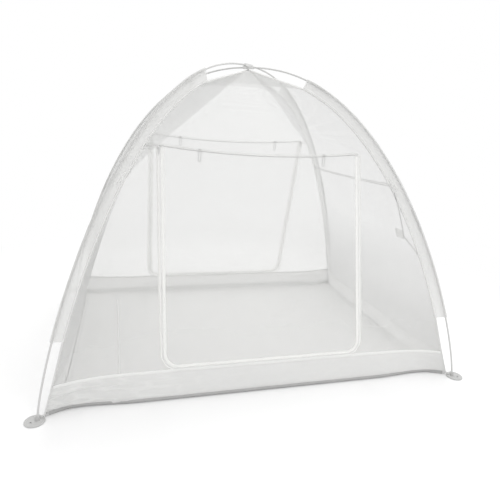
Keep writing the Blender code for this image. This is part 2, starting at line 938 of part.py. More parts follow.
def build_long_side(side):
    seam_height = long_sides[side][1]

    def spot(x, height):
        return on_long_wall(side, x, height)

    def roof(u, v):
        seam_half = long_edge(seam_height)[0]
        column = round(u * (door_columns + 2))
        if column in (0, door_columns + 2):
            x_share = 2 * u - 1
        else:
            x_share = (2 * (column - 1) / door_columns - 1) * door_half_width / seam_half
        low = seam_line(side, x_share * seam_half) + seam_gap / 2
        height = roof_level(v, low)
        return spot(x_share * long_edge(height)[0], height)

    def door(u, v):
        x_share = 2 * u - 1
        high = seam_line(side, x_share * (door_half_width - door_gap)) - door_top_gap
        height = door_row(v, door_gap, high)
        return spot(x_share * door_edge(height, door_gap), height)

    def band(u, v):
        height = band_bottom + (band_top - band_bottom) * v
        return spot((2 * u - 1) * long_edge(height)[0], height)

    grid_object(f"roof_{side}", door_columns + 2, roof_rows, roof, white_net)
    grid_object(f"door_{side}", door_columns, 10, door, white_net)
    grid_object(f"band_{side}", 20, 2, band, white_cloth)
    grid_object(f"seam_tape_{side}", door_columns, 1,
                seam_strip(roof, door_columns + 2, roof_rows, 1), white_tape, tape_thickness)
    for hand, sign in (("left", -1), ("right", 1)):
        def wall(u, v):
            height = door_row(v, -wall_edge_gap, seam_height - seam_gap / 2)
            height = max(height, band_top + seam_gap)
            edge = door_edge(height, -wall_edge_gap)
            return spot(sign * (edge + (long_edge(height)[0] - edge) * u), height)
        grid_object(f"wall_{side}_{hand}", 4, 10, wall, white_net)


zip_leg_steps = 3
zip_corner_steps = 5


def door_route(side):
    """The door's outline as a U of points, each with its outward direction."""
    top = long_sides[side][1] - tape_top_gap
    low = band_top + door_corner_radius
    centre = door_half_width - door_corner_radius
    route = [((-door_half_width, top + (low - top) * step / zip_leg_steps), (-1, 0))
             for step in range(zip_leg_steps)]
    for step in range(zip_corner_steps + 1):
        angle = math.pi / 2 * step / zip_corner_steps
        out = (-math.cos(angle), -math.sin(angle))
        route.append((along((-centre, low), out, door_corner_radius), out))
    return route + [((-point[0], point[1]), (-out[0], out[1])) for point, out in reversed(route)]


def build_zip(side):
    """The zip sewn behind the wall's edge, and the tape on the edge of the door's net."""
    route = door_route(side)
    steps = len(route) - 1
    offset = (net_thickness + tape_thickness) / 2 + tape_lift

    def spot(x, height):
        return on_long_wall(side, x, height)

    def strip(start, width, lift):
        def place(u, v):
            point, out = route[round(u * steps)]
            x, height = along(point, out, start + width * v)
            return lifted(spot, x, height, lift)
        return place

    grid_object(f"zip_{side}", steps, 1, strip(-zip_chain_half, zip_tape_width, -offset),
                white_tape, tape_thickness)
    start = -door_gap - edge_tape_width
    grid_object(f"door_tape_{side}", steps, 1, strip(start, edge_tape_width, offset),
                white_tape, tape_thickness)


def build_short_side(side, turn):
    """A short wall with its roof panel, band and seam tape."""
    half_gap = seam_gap / 2

    def spot(y, height):
        return short_wall(turn, y, height)

    def sheet(low, high):
        def place(u, v):
            height = low + (high - low) * v
            return spot((2 * u - 1) * short_edge(height)[1], height)
        return place

    def roof(u, v):
        height = roof_level(v, short_seam_height + half_gap)
        return spot((2 * u - 1) * short_edge(height)[1], height)

    grid_object(f"roof_{side}", roof_columns, roof_rows, roof, white_net)
    grid_object(f"wall_{side}", 10, 8,
                sheet(band_top + seam_gap, short_seam_height - half_gap), white_net)
    grid_object(f"band_{side}", 14, 2, sheet(band_bottom, band_top), white_cloth)
    grid_object(f"seam_tape_{side}", roof_columns, 1, seam_strip(roof, roof_columns, roof_rows),
                white_tape, tape_thickness)


floor_side_steps = 16


def build_floor():
    """The sewn-in floor sheet, whose edge follows the foot of the band all round."""
    outline = []
    edge_x = long_edge(floor_top)[0]
    edge_y = short_edge(floor_top)[1]
    shares = [2 * step / floor_side_steps - 1 for step in range(floor_side_steps + 1)]
    outline += [on_long_wall("front", share * edge_x, floor_top) for share in shares]
    outline += [short_wall(1, share * edge_y, floor_top) for share in shares]
    outline += [on_long_wall("back", share * edge_x, floor_top) for share in shares]
    outline += [short_wall(-1, share * edge_y, floor_top) for share in shares]
    sheet = outline_object("floor_sheet", outline, floor_thickness, white_cloth)
    sheet.location = up * (floor_lift + floor_thickness / 2)


# The zip sliders run on the straight leg at the left of each door, seen from outside
slider_hand = -1


def zip_top(side):
    return on_long_wall(side, slider_hand * door_half_width, long_sides[side][1])


def zip_axes(side):
    """Sideways, downwards and outwards directions of the first straight stretch of a zip."""
    x = slider_hand * door_half_width
    top = long_sides[side][1] - tape_top_gap
    low = top + (band_top + door_corner_radius - top) / zip_leg_steps
    upper, lower = on_long_wall(side, x, top), on_long_wall(side, x, low)
    width = zip_tape_width / 2
    beside = on_long_wall(side, x + width, top) - on_long_wall(side, x - width, top)
    down = (lower - upper).normalized()
    out = down.cross(beside).normalized()
    return out.cross(down).normalized(), down, out


def placed_box(name, size, origin, axes, offset):
    """A box whose own X, Y and Z follow the three axes, moved by an offset along them."""
    piece = box(name, size, zinc)
    sideways, down, out = axes
    middle = origin + sideways * offset[0] + down * offset[1] + out * offset[2]
    return in_plane(piece, middle, sideways, -down)


def build_slider(side):
    """A slider that clasps the zip's free edge, with a bail on each face for its pulls."""
    axes = zip_axes(side)
    sideways, down, out = axes
    origin = zip_top(side) + down * slider_drop
    door_side = -slider_hand
    zip_middle = -(net_thickness + tape_thickness) / 2 - tape_lift
    channel = tape_thickness / 2 + slider_clearance
    bridge_middle = zip_chain_half + slider_clearance + slider_bridge / 2
    door_edge_place = bridge_middle + slider_bridge / 2
    plate_middle = door_side * (door_edge_place - slider_width / 2)
    size = (slider_width, slider_length, slider_plate)
    lifts = {sign: zip_middle + sign * (channel + slider_plate / 2) for sign in (1, -1)}
    slider = placed_box(f"slider_{side}", size, origin, axes, (plate_middle, 0, lifts[1]))
    back = placed_box(f"slider_back_{side}", size, origin, axes, (plate_middle, 0, lifts[-1]))
    combine(slider, back, "UNION")
    bridge = placed_box(f"slider_bridge_{side}",
                        (slider_bridge, slider_length, lifts[1] - lifts[-1]),
                        origin, axes, (door_side * bridge_middle, 0, zip_middle))
    combine(slider, bridge, "UNION")
    pivots = {}
    for face, sign in (("outer", 1), ("inner", -1)):
        plate_lift = lifts[sign]
        bar_lift = plate_lift + sign * (slider_plate / 2 + bail_rise)
        post_height = slider_plate / 2 + bail_rise + bail_radius
        span = eye_width / 2 + slider_clearance + bail_post / 2
        for hand in (-1, 1):
            post = placed_box(f"bail_post_{side}_{face}_{hand}",
                              (bail_post, 3 * bail_radius, post_height), origin, axes,
                              (plate_middle + hand * span, 0,
                               plate_lift + sign * post_height / 2))
            combine(slider, post, "UNION")
        pivot = origin + sideways * plate_middle + out * bar_lift
        bar = cylinder(f"bail_bar_{side}_{face}", bail_radius, 2 * span, zinc, 10)
        aim(bar, pivot, sideways)
        combine(slider, bar, "UNION")
        pivots[face] = pivot
    return pivots


def build_pull(side, face, pivot):
    """A flat pull with an eye round the bail; the inner one hangs plumb."""
    sideways, down, out = zip_axes(side)
    if face == "inner":
        down = -up
        out = Vector((0, math.copysign(1, out.y), 0))
    axes = (sideways, down, out)
    pull = cylinder(f"pull_{side}_{face}", eye_radius, eye_width, zinc, 14)
    aim(pull, pivot, sideways)
    neck_length = pull_length / 3
    neck = placed_box(f"pull_neck_{side}_{face}",
                      (eye_width, neck_length, pull_thickness), pivot, axes,
                      (0, eye_bore + neck_length / 2, 0))
    combine(pull, neck, "UNION")
    blade_length = pull_length - neck_length
    blade = placed_box(f"pull_blade_{side}_{face}",
                       (pull_width, blade_length, pull_thickness), pivot, axes,
                       (0, neck_length + blade_length / 2, 0))
    combine(pull, blade, "UNION")
    bore = cylinder(f"pull_bore_{side}_{face}", eye_bore, eye_width + cut_overrun, zinc, 14)
    aim(bore, pivot, sideways)
    combine(pull, bore, "DIFFERENCE")


loop_bend_steps = 6


def build_loop(side, hand, sign):
    """A cord loop that hangs from the inside of a door's top seam, to hold the rolled door."""
    def spot(x, height):
        return on_long_wall(side, x, height)

    x = sign * loop_place
    height = seam_line(side, x) + seam_gap + seam_tape_width / 2
    lift = (net_thickness + loop_cord_diameter) / 2 + seam_tape_lift + tape_thickness + tape_lift
    pivot = lifted(spot, x, height, -lift)
    half = (loop_width - loop_cord_diameter) / 2
    drop = loop_length - loop_cord_diameter - 2 * half
    points = []
    for end, shift in ((0, -half), (1, -half - drop)):
        for step in range(loop_bend_steps + 1):
            angle = math.pi * (end + step / loop_bend_steps)
            points.append((half * math.cos(angle), 0, half * math.sin(angle) + shift))
    loop = curve_object(f"door_loop_{side}_{hand}", points, loop_cord_diameter / 2, elastic,
                        closed=True, fine=1)
    loop.location = pivot


for rod_name in rods:
    for section_number in range(sections_per_rod):
        build_section(rod_name, section_number)
    build_shock_cord(rod_name)
build_apex_clip()
for corner_name in corners:
    build_foot(corner_name)
    build_sleeve(corner_name)
    build_strap(corner_name)
for side_name in long_sides:
    build_long_side(side_name)
    build_zip(side_name)
    for face_name, face_pivot in build_slider(side_name).items():
        build_pull(side_name, face_name, face_pivot)
    for hand_name, hand_sign in (("left", -1), ("right", 1)):
        build_loop(side_name, hand_name, hand_sign)
build_short_side("right", 1)
build_short_side("left", -1)
build_floor()
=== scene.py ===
"""Dressed view of the dome mosquito net tent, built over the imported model."""

import json
import math
from functools import partial

import bpy
from mathutils import Matrix, Vector, noise
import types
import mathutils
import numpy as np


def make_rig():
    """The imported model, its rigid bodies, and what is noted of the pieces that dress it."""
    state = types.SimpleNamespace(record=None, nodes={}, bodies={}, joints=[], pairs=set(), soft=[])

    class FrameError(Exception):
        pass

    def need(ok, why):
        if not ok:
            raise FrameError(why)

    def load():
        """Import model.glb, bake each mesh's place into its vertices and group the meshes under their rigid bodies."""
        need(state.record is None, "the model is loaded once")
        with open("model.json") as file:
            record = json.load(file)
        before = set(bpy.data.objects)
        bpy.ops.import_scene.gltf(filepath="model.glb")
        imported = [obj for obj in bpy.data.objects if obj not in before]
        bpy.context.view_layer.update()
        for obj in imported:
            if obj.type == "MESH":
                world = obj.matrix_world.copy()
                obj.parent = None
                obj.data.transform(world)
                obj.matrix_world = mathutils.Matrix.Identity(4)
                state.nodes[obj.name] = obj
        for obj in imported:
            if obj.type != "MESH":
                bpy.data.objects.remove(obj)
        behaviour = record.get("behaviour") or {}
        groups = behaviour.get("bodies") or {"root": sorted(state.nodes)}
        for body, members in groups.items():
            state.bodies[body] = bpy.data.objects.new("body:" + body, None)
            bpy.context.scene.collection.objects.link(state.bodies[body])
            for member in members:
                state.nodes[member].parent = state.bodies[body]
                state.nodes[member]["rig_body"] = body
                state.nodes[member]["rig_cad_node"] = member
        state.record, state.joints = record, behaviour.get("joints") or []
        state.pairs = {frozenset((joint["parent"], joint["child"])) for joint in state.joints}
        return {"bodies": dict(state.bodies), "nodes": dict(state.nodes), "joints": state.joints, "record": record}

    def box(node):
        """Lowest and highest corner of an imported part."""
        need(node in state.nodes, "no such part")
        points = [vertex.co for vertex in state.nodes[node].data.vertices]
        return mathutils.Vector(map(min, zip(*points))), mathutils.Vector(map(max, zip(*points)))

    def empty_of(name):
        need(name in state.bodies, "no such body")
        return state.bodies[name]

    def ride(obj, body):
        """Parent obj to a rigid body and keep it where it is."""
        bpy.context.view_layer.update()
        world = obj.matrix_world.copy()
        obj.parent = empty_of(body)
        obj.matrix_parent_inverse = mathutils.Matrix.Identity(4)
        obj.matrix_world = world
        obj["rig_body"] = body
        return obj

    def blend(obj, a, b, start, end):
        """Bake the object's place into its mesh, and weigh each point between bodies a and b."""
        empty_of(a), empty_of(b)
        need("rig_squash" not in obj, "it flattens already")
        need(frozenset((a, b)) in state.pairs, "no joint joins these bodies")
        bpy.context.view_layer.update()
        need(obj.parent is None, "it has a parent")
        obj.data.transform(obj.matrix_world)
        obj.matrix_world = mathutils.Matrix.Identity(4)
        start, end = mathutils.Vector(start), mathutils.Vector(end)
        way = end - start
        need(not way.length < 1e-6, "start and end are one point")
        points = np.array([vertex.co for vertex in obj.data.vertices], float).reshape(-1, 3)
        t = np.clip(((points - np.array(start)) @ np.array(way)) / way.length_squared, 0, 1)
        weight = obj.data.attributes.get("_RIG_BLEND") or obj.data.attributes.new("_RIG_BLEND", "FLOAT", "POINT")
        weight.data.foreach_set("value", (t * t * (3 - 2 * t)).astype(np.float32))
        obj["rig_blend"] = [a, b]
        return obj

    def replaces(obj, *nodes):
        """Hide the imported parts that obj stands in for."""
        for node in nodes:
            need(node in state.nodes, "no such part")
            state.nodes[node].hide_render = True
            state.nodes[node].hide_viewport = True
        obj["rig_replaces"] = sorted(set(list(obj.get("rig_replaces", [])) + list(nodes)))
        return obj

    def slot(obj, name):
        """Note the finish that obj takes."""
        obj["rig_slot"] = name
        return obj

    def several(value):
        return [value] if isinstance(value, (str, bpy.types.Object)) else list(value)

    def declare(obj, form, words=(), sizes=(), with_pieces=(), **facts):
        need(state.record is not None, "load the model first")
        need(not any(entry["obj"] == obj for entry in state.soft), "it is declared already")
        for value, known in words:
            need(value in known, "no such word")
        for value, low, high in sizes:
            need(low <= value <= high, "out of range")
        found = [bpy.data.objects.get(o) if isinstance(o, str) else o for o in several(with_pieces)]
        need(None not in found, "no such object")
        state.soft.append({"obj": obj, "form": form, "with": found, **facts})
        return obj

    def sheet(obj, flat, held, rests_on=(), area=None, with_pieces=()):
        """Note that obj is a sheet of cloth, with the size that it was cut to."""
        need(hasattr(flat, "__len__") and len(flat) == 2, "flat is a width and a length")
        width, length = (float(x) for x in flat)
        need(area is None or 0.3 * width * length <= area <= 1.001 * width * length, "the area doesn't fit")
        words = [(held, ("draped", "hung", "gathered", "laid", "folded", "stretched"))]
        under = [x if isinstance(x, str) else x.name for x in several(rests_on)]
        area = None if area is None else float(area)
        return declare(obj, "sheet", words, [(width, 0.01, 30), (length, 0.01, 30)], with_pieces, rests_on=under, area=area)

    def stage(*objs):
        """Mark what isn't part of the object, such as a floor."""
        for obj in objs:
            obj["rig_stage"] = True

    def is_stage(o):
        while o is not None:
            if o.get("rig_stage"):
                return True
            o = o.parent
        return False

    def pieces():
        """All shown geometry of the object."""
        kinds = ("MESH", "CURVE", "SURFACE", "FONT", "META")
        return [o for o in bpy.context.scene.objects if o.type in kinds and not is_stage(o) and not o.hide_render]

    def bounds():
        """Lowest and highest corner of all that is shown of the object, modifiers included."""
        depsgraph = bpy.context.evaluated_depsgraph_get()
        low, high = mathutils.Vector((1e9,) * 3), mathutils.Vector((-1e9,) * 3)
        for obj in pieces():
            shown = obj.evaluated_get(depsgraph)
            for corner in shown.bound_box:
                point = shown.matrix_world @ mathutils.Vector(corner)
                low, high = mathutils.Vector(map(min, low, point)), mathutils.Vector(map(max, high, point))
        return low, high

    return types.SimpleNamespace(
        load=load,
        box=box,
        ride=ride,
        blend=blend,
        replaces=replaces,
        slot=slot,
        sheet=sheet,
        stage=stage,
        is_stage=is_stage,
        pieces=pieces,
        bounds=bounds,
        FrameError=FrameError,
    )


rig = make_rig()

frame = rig.load()
cad_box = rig.bounds()

# Camera: place in metres, angles in degrees, and focal length in pixels of a 500 pixel frame
CAMERA_PLACE = Vector((-0.629, -2.450, 1.190))
CAMERA_YAW, CAMERA_PITCH, CAMERA_ROLL = 15.92, 15.26, 3.39
CAMERA_FOCAL, FRAME_PIXELS, SENSOR, CLIP_START = 439.9, 500, 36.0, 0.05

# Light and floor: the floor turns into plain white between two distances from the middle
WORLD_LIGHT, FLOOR_GLOW, FLOOR_GREY = 1.0, 0.05, 0.86
FLOOR_NEAR, FLOOR_FAR, FLOOR_REACH, FLOOR_DROP = 1.3, 2.6, 60.0, 0.0004
LAMPS = (  # name, place, target, size and power
    ("key", (2.6, -2.6, 3.6), (0, 0, 0.6), 3.2, 36),
    ("top", (0.2, 1.8, 4.8), (0, 0, 0.2), 1.6, 60),
)

# Rods
SPAN_ACROSS, SPAN_DEEP, ARCH_HEIGHT = 2.0, 1.5, 1.52
REACH_POWER, RISE_POWER = 2.23, 1.26
ROD_DIAMETER, CROSSING_GAP, ROD_END_HEIGHT = 0.0085, 0.0012, 0.0075
STATIONS, SECTIONS, FINE, ARC_STEPS, HALVINGS = 20, 5, 6, 40, 40
SHOCK_CORD, CORD_END, CORD_STEPS, CORD_SIDES, ROD_SIDES, ROD_AHEAD = 0.0025, 0.02, 160, 8, 20, 0.05
ROD_WALL, SECTION_GAP, FERRULE, FERRULE_WALL, FERRULE_CLEARANCE = 0.0023, 0.0012, 0.104, 0.0009, 0.0006
TIP_LENGTH, TIP_WALL, TIP_FLOOR, TIP_CLEARANCE = 0.018, 0.0010, 0.0015, 0.0004
TIP_NOSE, ROD_BEVEL, FERRULE_BEVEL = 0.0006, 0.0004, 0.0003

# Feet and straps
FOOT_PLATE, FOOT_RIM, SLOT_OFFSET, SLOT_LENGTH = 0.0045, 0.0020, 0.0185, 0.0105
STRAP_TURN, STRAP_END, STRAP_WIDTH, SLOT_CLEARANCE = 0.014, 0.0020, 0.011, 0.0010

# Net
NET, SEAM_GAP, PEAK_DROP, PEAK_OPENING = 0.0012, 0.0006, 0.0265, 0.016
SLEEVE_DEPTH, SLEEVE_CLOTH, SLEEVE_BORE, SLEEVE_LAYER_GAP, SLEEVE_TUCK = 0.050, 0.0009, 0.0075, 0.0009, 0.005
SLEEVE_TOP_REACH, SLEEVE_BOTTOM = 0.33, 0.32
BAND_TOP, FLOOR_LIFT, FLOOR_THICK = 0.124, 0.0008, 0.0010
CORNER_BEND, BAND_CORNER, STRAP_FOOT = 0.145, 0.078, 0.030
LONG_WALL, LONG_SEAM = 0.690, 0.400
SHORT_WALL, SHORT_SEAM, SHORT_SEAM_HEIGHT, SHORT_SLACK = 0.925, 0.625, 0.955, 0.030
FRONT_SEAM, BACK_SEAM, SEAM_SAG = 1.100, 1.135, 0.028
ROOF_POWER, WALL_POWER, HEM_POWER, HEM_FADE, SIDE_POWER, SLOPE_SHARE = 2.0, 1.5, 6.0, 0.12, 2.2, 0.72
# Soft ripples: frequency across, frequency upward and strength
RIPPLES, NET_RIPPLE = ((4.3, 2.6, 1.0), (13.0, 5.0, 0.35)), 0.0045
EDGE_FADE, SEAM_FADE, ZIP_REACH = 0.12, 0.08, 0.02
PATCH_SAG, PATCH_DROP, PATCH_OVERLAP, PATCH_INSET, PATCH_PEAK = 0.012, 0.0025, 0.004, 0.004, 0.003
PATCH_GRID = 24, 10

# Band: creases as across, upward, slant and seed step of a noise, then its strength
CREASES = ((8.0, 2.2, 2.6, -3.5, 0, 1.0), (24.0, 3.0, 5.0, -9.0, 5, 0.6))
RIDGE, RIDGE_SHARP, RIDGE_STRENGTH = (7.0, 4.2, -1.5, -5.0, 9), 3, 0.55
BAND_SLACK, EVEN_SLACK, LOOSE_SLACK, SLACK_REACH = 0.0080, 0.35, 1.1, 0.55
SHORT_SIDE_SLACK, BAND_END_FADE = 0.3, 0.05
EDGE_ROUND, TUCK_SHARE, FLARE, FLARE_POWER, FLARE_ROOM = 0.026, 0.35, 0.026, 1.6, 0.25
BAND_COLUMNS, BAND_ROWS, FOOT_ROWS, FOOT_POWER = 150, 14, 6, 1.5
# Heights and distances outward of the foot's binding, a dark strip that paints the shadow along the ground, and the
# same of the hem from the band's top
FOOT_LEVELS = ((0.0200, 0.0010), (0.0185, 0.0016), (0.0140, 0.0017), (0.0100, 0.0017),
               (0.0060, 0.0016), (0.0034, 0.0016), (0.0020, 0.0010), (0.0012, -0.0060))
HEM_LEVELS = ((-0.0100, 0.0009), (-0.0094, 0.0013), (-0.0040, 0.0016), (0.0016, 0.0012), (0.0022, 0.0007))
FOOT_SHARE, HEM_INSET = 0.985, 0.002
# The floor's turned-up edge: heights and distances inside the band
FLOOR_TURN_UP, FLOOR_GAP = ((0.022, 0.0045), (0.013, 0.0045), (0.006, 0.0040)), 0.001
FLOOR_RINGS, FLOOR_SIDE, FLOOR_SINK, FLOOR_RIPPLE, FLOOR_CALM = 34, 48, 0.0002, 0.0016, 3
FLOOR_END_FADE, FLOOR_RIPPLES = 0.02, ((3.1, 0.7, 1.0), (9.0, 3.1, 0.5))  # scale, seed, strength

# Doors and trim
DOOR_HALF, DOOR_CORNER, DOOR_GAP, DOOR_TOP_GAP = 0.495, 0.075, 0.0060, 0.0010
CORNER_ROWS, DOOR_COLUMNS, DOOR_ROWS = 0.3, 48, 52
WALL_COLUMNS, DOORWAY_COLUMNS, WALL_ROWS, ROOF_ROWS = 14, 36, 46, 34
SHORT_COLUMNS, SHORT_ROWS = 56, 84
BEND_TOP, BEND_BOTTOM = 0.002, 0.080
FLAT_MARGIN, TAPE_TOP_GAP, WALL_EDGE_GAP = 0.013, 0.003, 0.0040
TAPE, TAPE_LIFT, TAPE_RUCK, SEAM_TAPE_WIDTH, SEAM_TAPE_LIFT = 0.0010, 0.0003, 0.0001, 0.014, 0.0008
SEAM_TAPE_START, SEAM_ROLL, SEAM_RUCK, SEAM_STEPS, SEAM_COLUMNS = 0.0015, 0.0015, 0.0002, 90, 4
SHORT_SEAM_SKIP, SEAM_RISE, SEAM_REACH = 0.008, 0.02, 0.01
CHAIN_HALF, ZIP_TAPE, EDGE_TAPE, TOOTH_PITCH, TOOTH_LENGTH = 0.0025, 0.014, 0.015, 0.0026, 0.32
ZIP_TOOTH, DOOR_TOOTH = (0.0, CHAIN_HALF * 0.92, 0.0004), (0.0012 - DOOR_GAP, 0.0016, 0.0007)
TAPE_COLUMNS, TAPE_STEPS, CHAIN_STEPS = 4, (46, 14), (60, 20)  # steps of a leg and of a bend
TRIM_THICK, BINDING, BINDING_OVERLAP, CLIP_FLANGE_RADIUS = 0.0008, 0.010, 0.030, 0.019
LOOP_CORD, LOOP_LENGTH, LOOP_WIDTH = 0.0032, 0.055, 0.015
LOOP_STEPS, TAB_RISE, TAB_LENGTH, TAB_SIDE, TAB_FACE = 12, 0.002, 0.010, 0.0005, 0.0003

# Flat cloth sizes, width and length
NET_FLAT, SHORT_NET_FLAT, FLOOR_FLAT, PATCH_FLAT = (1.90, 1.57), (1.42, 1.69), (1.99, 1.51), (0.50, 0.38)
DOOR_FLAT = {"front": (0.98, 1.00), "back": (0.98, 1.04)}
BAND_FLAT, SHORT_BAND_FLAT = (1.97, 0.135), (1.49, 0.130)
SLEEVE_FLAT = {"a": (0.140, 1.46), "b": (0.132, 1.46)}

UP = Vector((0, 0, 1))
WHITE = (1, 1, 1, 1)
HALF_DIAGONAL = math.hypot(SPAN_ACROSS, SPAN_DEEP) / 2
ACROSS = SPAN_ACROSS / 2 / HALF_DIAGONAL
DEEP = SPAN_DEEP / 2 / HALF_DIAGONAL
CORNERS = {
    "front_left": Vector((-ACROSS, -DEEP, 0)),
    "front_right": Vector((ACROSS, -DEEP, 0)),
    "back_right": Vector((ACROSS, DEEP, 0)),
    "back_left": Vector((-ACROSS, DEEP, 0)),
}
SLEEVES = [f"sleeve_{corner}" for corner in CORNERS]
ROD_STEP = ROD_DIAMETER + CROSSING_GAP
RODS = {"a": ("front_left", ARCH_HEIGHT), "b": ("front_right", ARCH_HEIGHT - ROD_STEP)}
CORNER_ROD = {"front_left": "a", "back_right": "a", "front_right": "b", "back_left": "b"}
MIDDLE_HEIGHT = ARCH_HEIGHT - ROD_STEP / 2
PEAK_HEIGHT = ARCH_HEIGHT - PEAK_DROP
FLOOR_TOP = FLOOR_LIFT + FLOOR_THICK
BAND_BOTTOM = FLOOR_TOP + SEAM_GAP
SIDES = {"front": (1, FRONT_SEAM), "back": (-1, BACK_SEAM)}
FLAT_HALF = DOOR_HALF + FLAT_MARGIN
TAPE_OFFSET = (NET + TAPE) / 2 + TAPE_LIFT


# ---------- The frame's lines ----------

def arch_point(angle, height):
    reach = HALF_DIAGONAL * max(math.cos(angle), 0) ** (2 / REACH_POWER)
    rise = math.sin(angle) ** (2 / RISE_POWER)
    return reach, ROD_END_HEIGHT + (height - ROD_END_HEIGHT) * rise


def even_angles(count):
    """Angles from foot to apex that split the middle arch into equal lengths."""
    steps = ARC_STEPS * STATIONS
    angles = [math.pi / 2 * step / steps for step in range(steps + 1)]
    points = [arch_point(angle, MIDDLE_HEIGHT) for angle in angles]
    lengths = [0.0]
    for first, second in zip(points, points[1:]):
        lengths.append(lengths[-1] + math.dist(first, second))
    even, place = [], 0
    for station in range(count + 1):
        wanted = lengths[-1] * station / count
        while place < steps - 1 and lengths[place + 1] < wanted:
            place += 1
        part = (wanted - lengths[place]) / (lengths[place + 1] - lengths[place])
        even.append(angles[place] + min(part, 1) * (angles[place + 1] - angles[place]))
    return even, lengths[-1] / STATIONS


ANGLES, STATION_LENGTH = even_angles(STATIONS * FINE)


def rod_point(place, height):
    """Reach and height at a place along a rod, counted in stations from its first foot."""
    mirror = place > STATIONS
    spot = (2 * STATIONS - place if mirror else place) * FINE
    low = min(max(int(spot), 0), STATIONS * FINE - 1)
    angle = ANGLES[low] + (ANGLES[low + 1] - ANGLES[low]) * (spot - low)
    reach, rise = arch_point(max(angle, 0), height)
    return (-reach if mirror else reach), rise


def left_of(low, high):
    """The direction square to a run from one flat point to another, on its left."""
    length = math.dist(low, high) or 1
    return (low[1] - high[1]) / length, (high[0] - low[0]) / length


def inward(place):
    return left_of(rod_point(max(place - 1 / 2, 0), MIDDLE_HEIGHT), rod_point(place + 1 / 2, MIDDLE_HEIGHT))


def along(point, direction, distance):
    return point[0] + direction[0] * distance, point[1] + direction[1] * distance


def net_corner(place):
    return along(rod_point(place, MIDDLE_HEIGHT), inward(place), SLEEVE_DEPTH)


def place_where(value, low, high, wanted):
    rising = value(high) > value(low)
    for _ in range(HALVINGS):
        middle = (low + high) / 2
        if (value(middle) < wanted) == rising:
            low = middle
        else:
            high = middle
    return low


SLEEVE_START = place_where(lambda p: rod_point(p, MIDDLE_HEIGHT)[1], 0, STATIONS, SLEEVE_BOTTOM)
SLEEVE_END = place_where(lambda p: rod_point(p, MIDDLE_HEIGHT)[0], 0, STATIONS, SLEEVE_TOP_REACH)


def between(low, high, share):
    return low + (high - low) * share


def spread(low, high, count):
    return [low + (high - low) * step / count for step in range(count + 1)]


CORNER_LINE = [
    (HALF_DIAGONAL - STRAP_FOOT, BAND_BOTTOM),
    (HALF_DIAGONAL - BAND_CORNER, CORNER_BEND),
    *[net_corner(place) for place in spread(SLEEVE_START, SLEEVE_END, 84)],
    (PEAK_OPENING, PEAK_HEIGHT),
]


def corner_reach(height):
    if height <= CORNER_LINE[0][1]:
        return CORNER_LINE[0][0]
    for first, second in zip(CORNER_LINE, CORNER_LINE[1:]):
        if height <= second[1]:
            return between(first[0], second[0], (height - first[1]) / (second[1] - first[1]))
    return CORNER_LINE[-1][0]


SLEEVE_HALF = SLEEVE_LAYER_GAP / 2 + SLEEVE_CLOTH
EDGE_OFFSET = SLEEVE_HALF + SEAM_GAP + NET / 2
CORNER_SLOPE = SLOPE_SHARE * DEEP / ACROSS


# ---------- The net's surfaces ----------

def net_edge(height, offset=EDGE_OFFSET):
    """Where a long side's net ends beside the corner seam; a short side's is at minus the offset."""
    reach = corner_reach(height)
    return reach * ACROSS - offset * DEEP, reach * DEEP + offset * ACROSS


def long_half(height):
    return net_edge(height)[0]


def short_half(height):
    return net_edge(height, -EDGE_OFFSET)[1]


def seam_line(side, x):
    share = min(1.0, abs(x) / DOOR_HALF)
    return SIDES[side][1] - SEAM_SAG * (1 - share ** 2)


def flat_reach(side, x, height):
    seam = seam_line(side, x)
    slope = (LONG_WALL - LONG_SEAM) / SIDES[side][1]
    if height <= seam:
        return LONG_WALL - slope * height
    peak_y = net_edge(PEAK_HEIGHT)[1]
    return between(LONG_WALL - slope * seam, peak_y, (height - seam) / (PEAK_HEIGHT - seam))


def long_wall(side, x, height):
    turn, seam_height = SIDES[side]
    edge_x, edge_y = net_edge(height)
    flat_y = flat_reach(side, x, height)
    if flat_y >= edge_y:
        return Vector((turn * x, -turn * edge_y, height))
    flat_x = FLAT_HALF
    power = WALL_POWER + HEM_POWER * math.exp(-height / HEM_FADE)
    if height > seam_height:
        flat_x *= (PEAK_HEIGHT - height) / (PEAK_HEIGHT - seam_height)
        power = ROOF_POWER
    depth = edge_y - flat_y
    flat_x = max(0.0, min(flat_x, edge_x - depth / CORNER_SLOPE))
    power = max(1.0, min(power, CORNER_SLOPE * (edge_x - flat_x) / depth))
    share = max(0.0, min(1.0, (abs(x) - flat_x) / (edge_x - flat_x)))
    return Vector((turn * x, -turn * (flat_y + depth * share ** power), height))


def short_wall(turn, y, height):
    edge_x, edge_y = net_edge(height, -EDGE_OFFSET)
    if height <= SHORT_SEAM_HEIGHT:
        share = height / SHORT_SEAM_HEIGHT
        middle_x = between(SHORT_WALL, SHORT_SEAM, share) + SHORT_SLACK * 4 * share * (1 - share)
    else:
        share = (height - SHORT_SEAM_HEIGHT) / (PEAK_HEIGHT - SHORT_SEAM_HEIGHT)
        middle_x = between(SHORT_SEAM, net_edge(PEAK_HEIGHT, -EDGE_OFFSET)[0], share)
    depth = edge_x - middle_x
    if depth <= 0:
        return Vector((turn * edge_x, turn * y, height))
    power = SIDE_POWER + HEM_POWER * math.exp(-height / HEM_FADE)
    power = max(1.0, min(power, SLOPE_SHARE * ACROSS / DEEP * edge_y / depth))
    share = min(1.0, abs(y) / edge_y)
    return Vector((turn * (middle_x + depth * share ** power), turn * y, height))


# Each side's surface, its half width at a height, and its direction outward
WALLS = {
    "front": (partial(long_wall, "front"), long_half, Vector((0, -1, 0))),
    "right": (partial(short_wall, 1), short_half, Vector((1, 0, 0))),
    "back": (partial(long_wall, "back"), long_half, Vector((0, 1, 0))),
    "left": (partial(short_wall, -1), short_half, Vector((-1, 0, 0))),
}


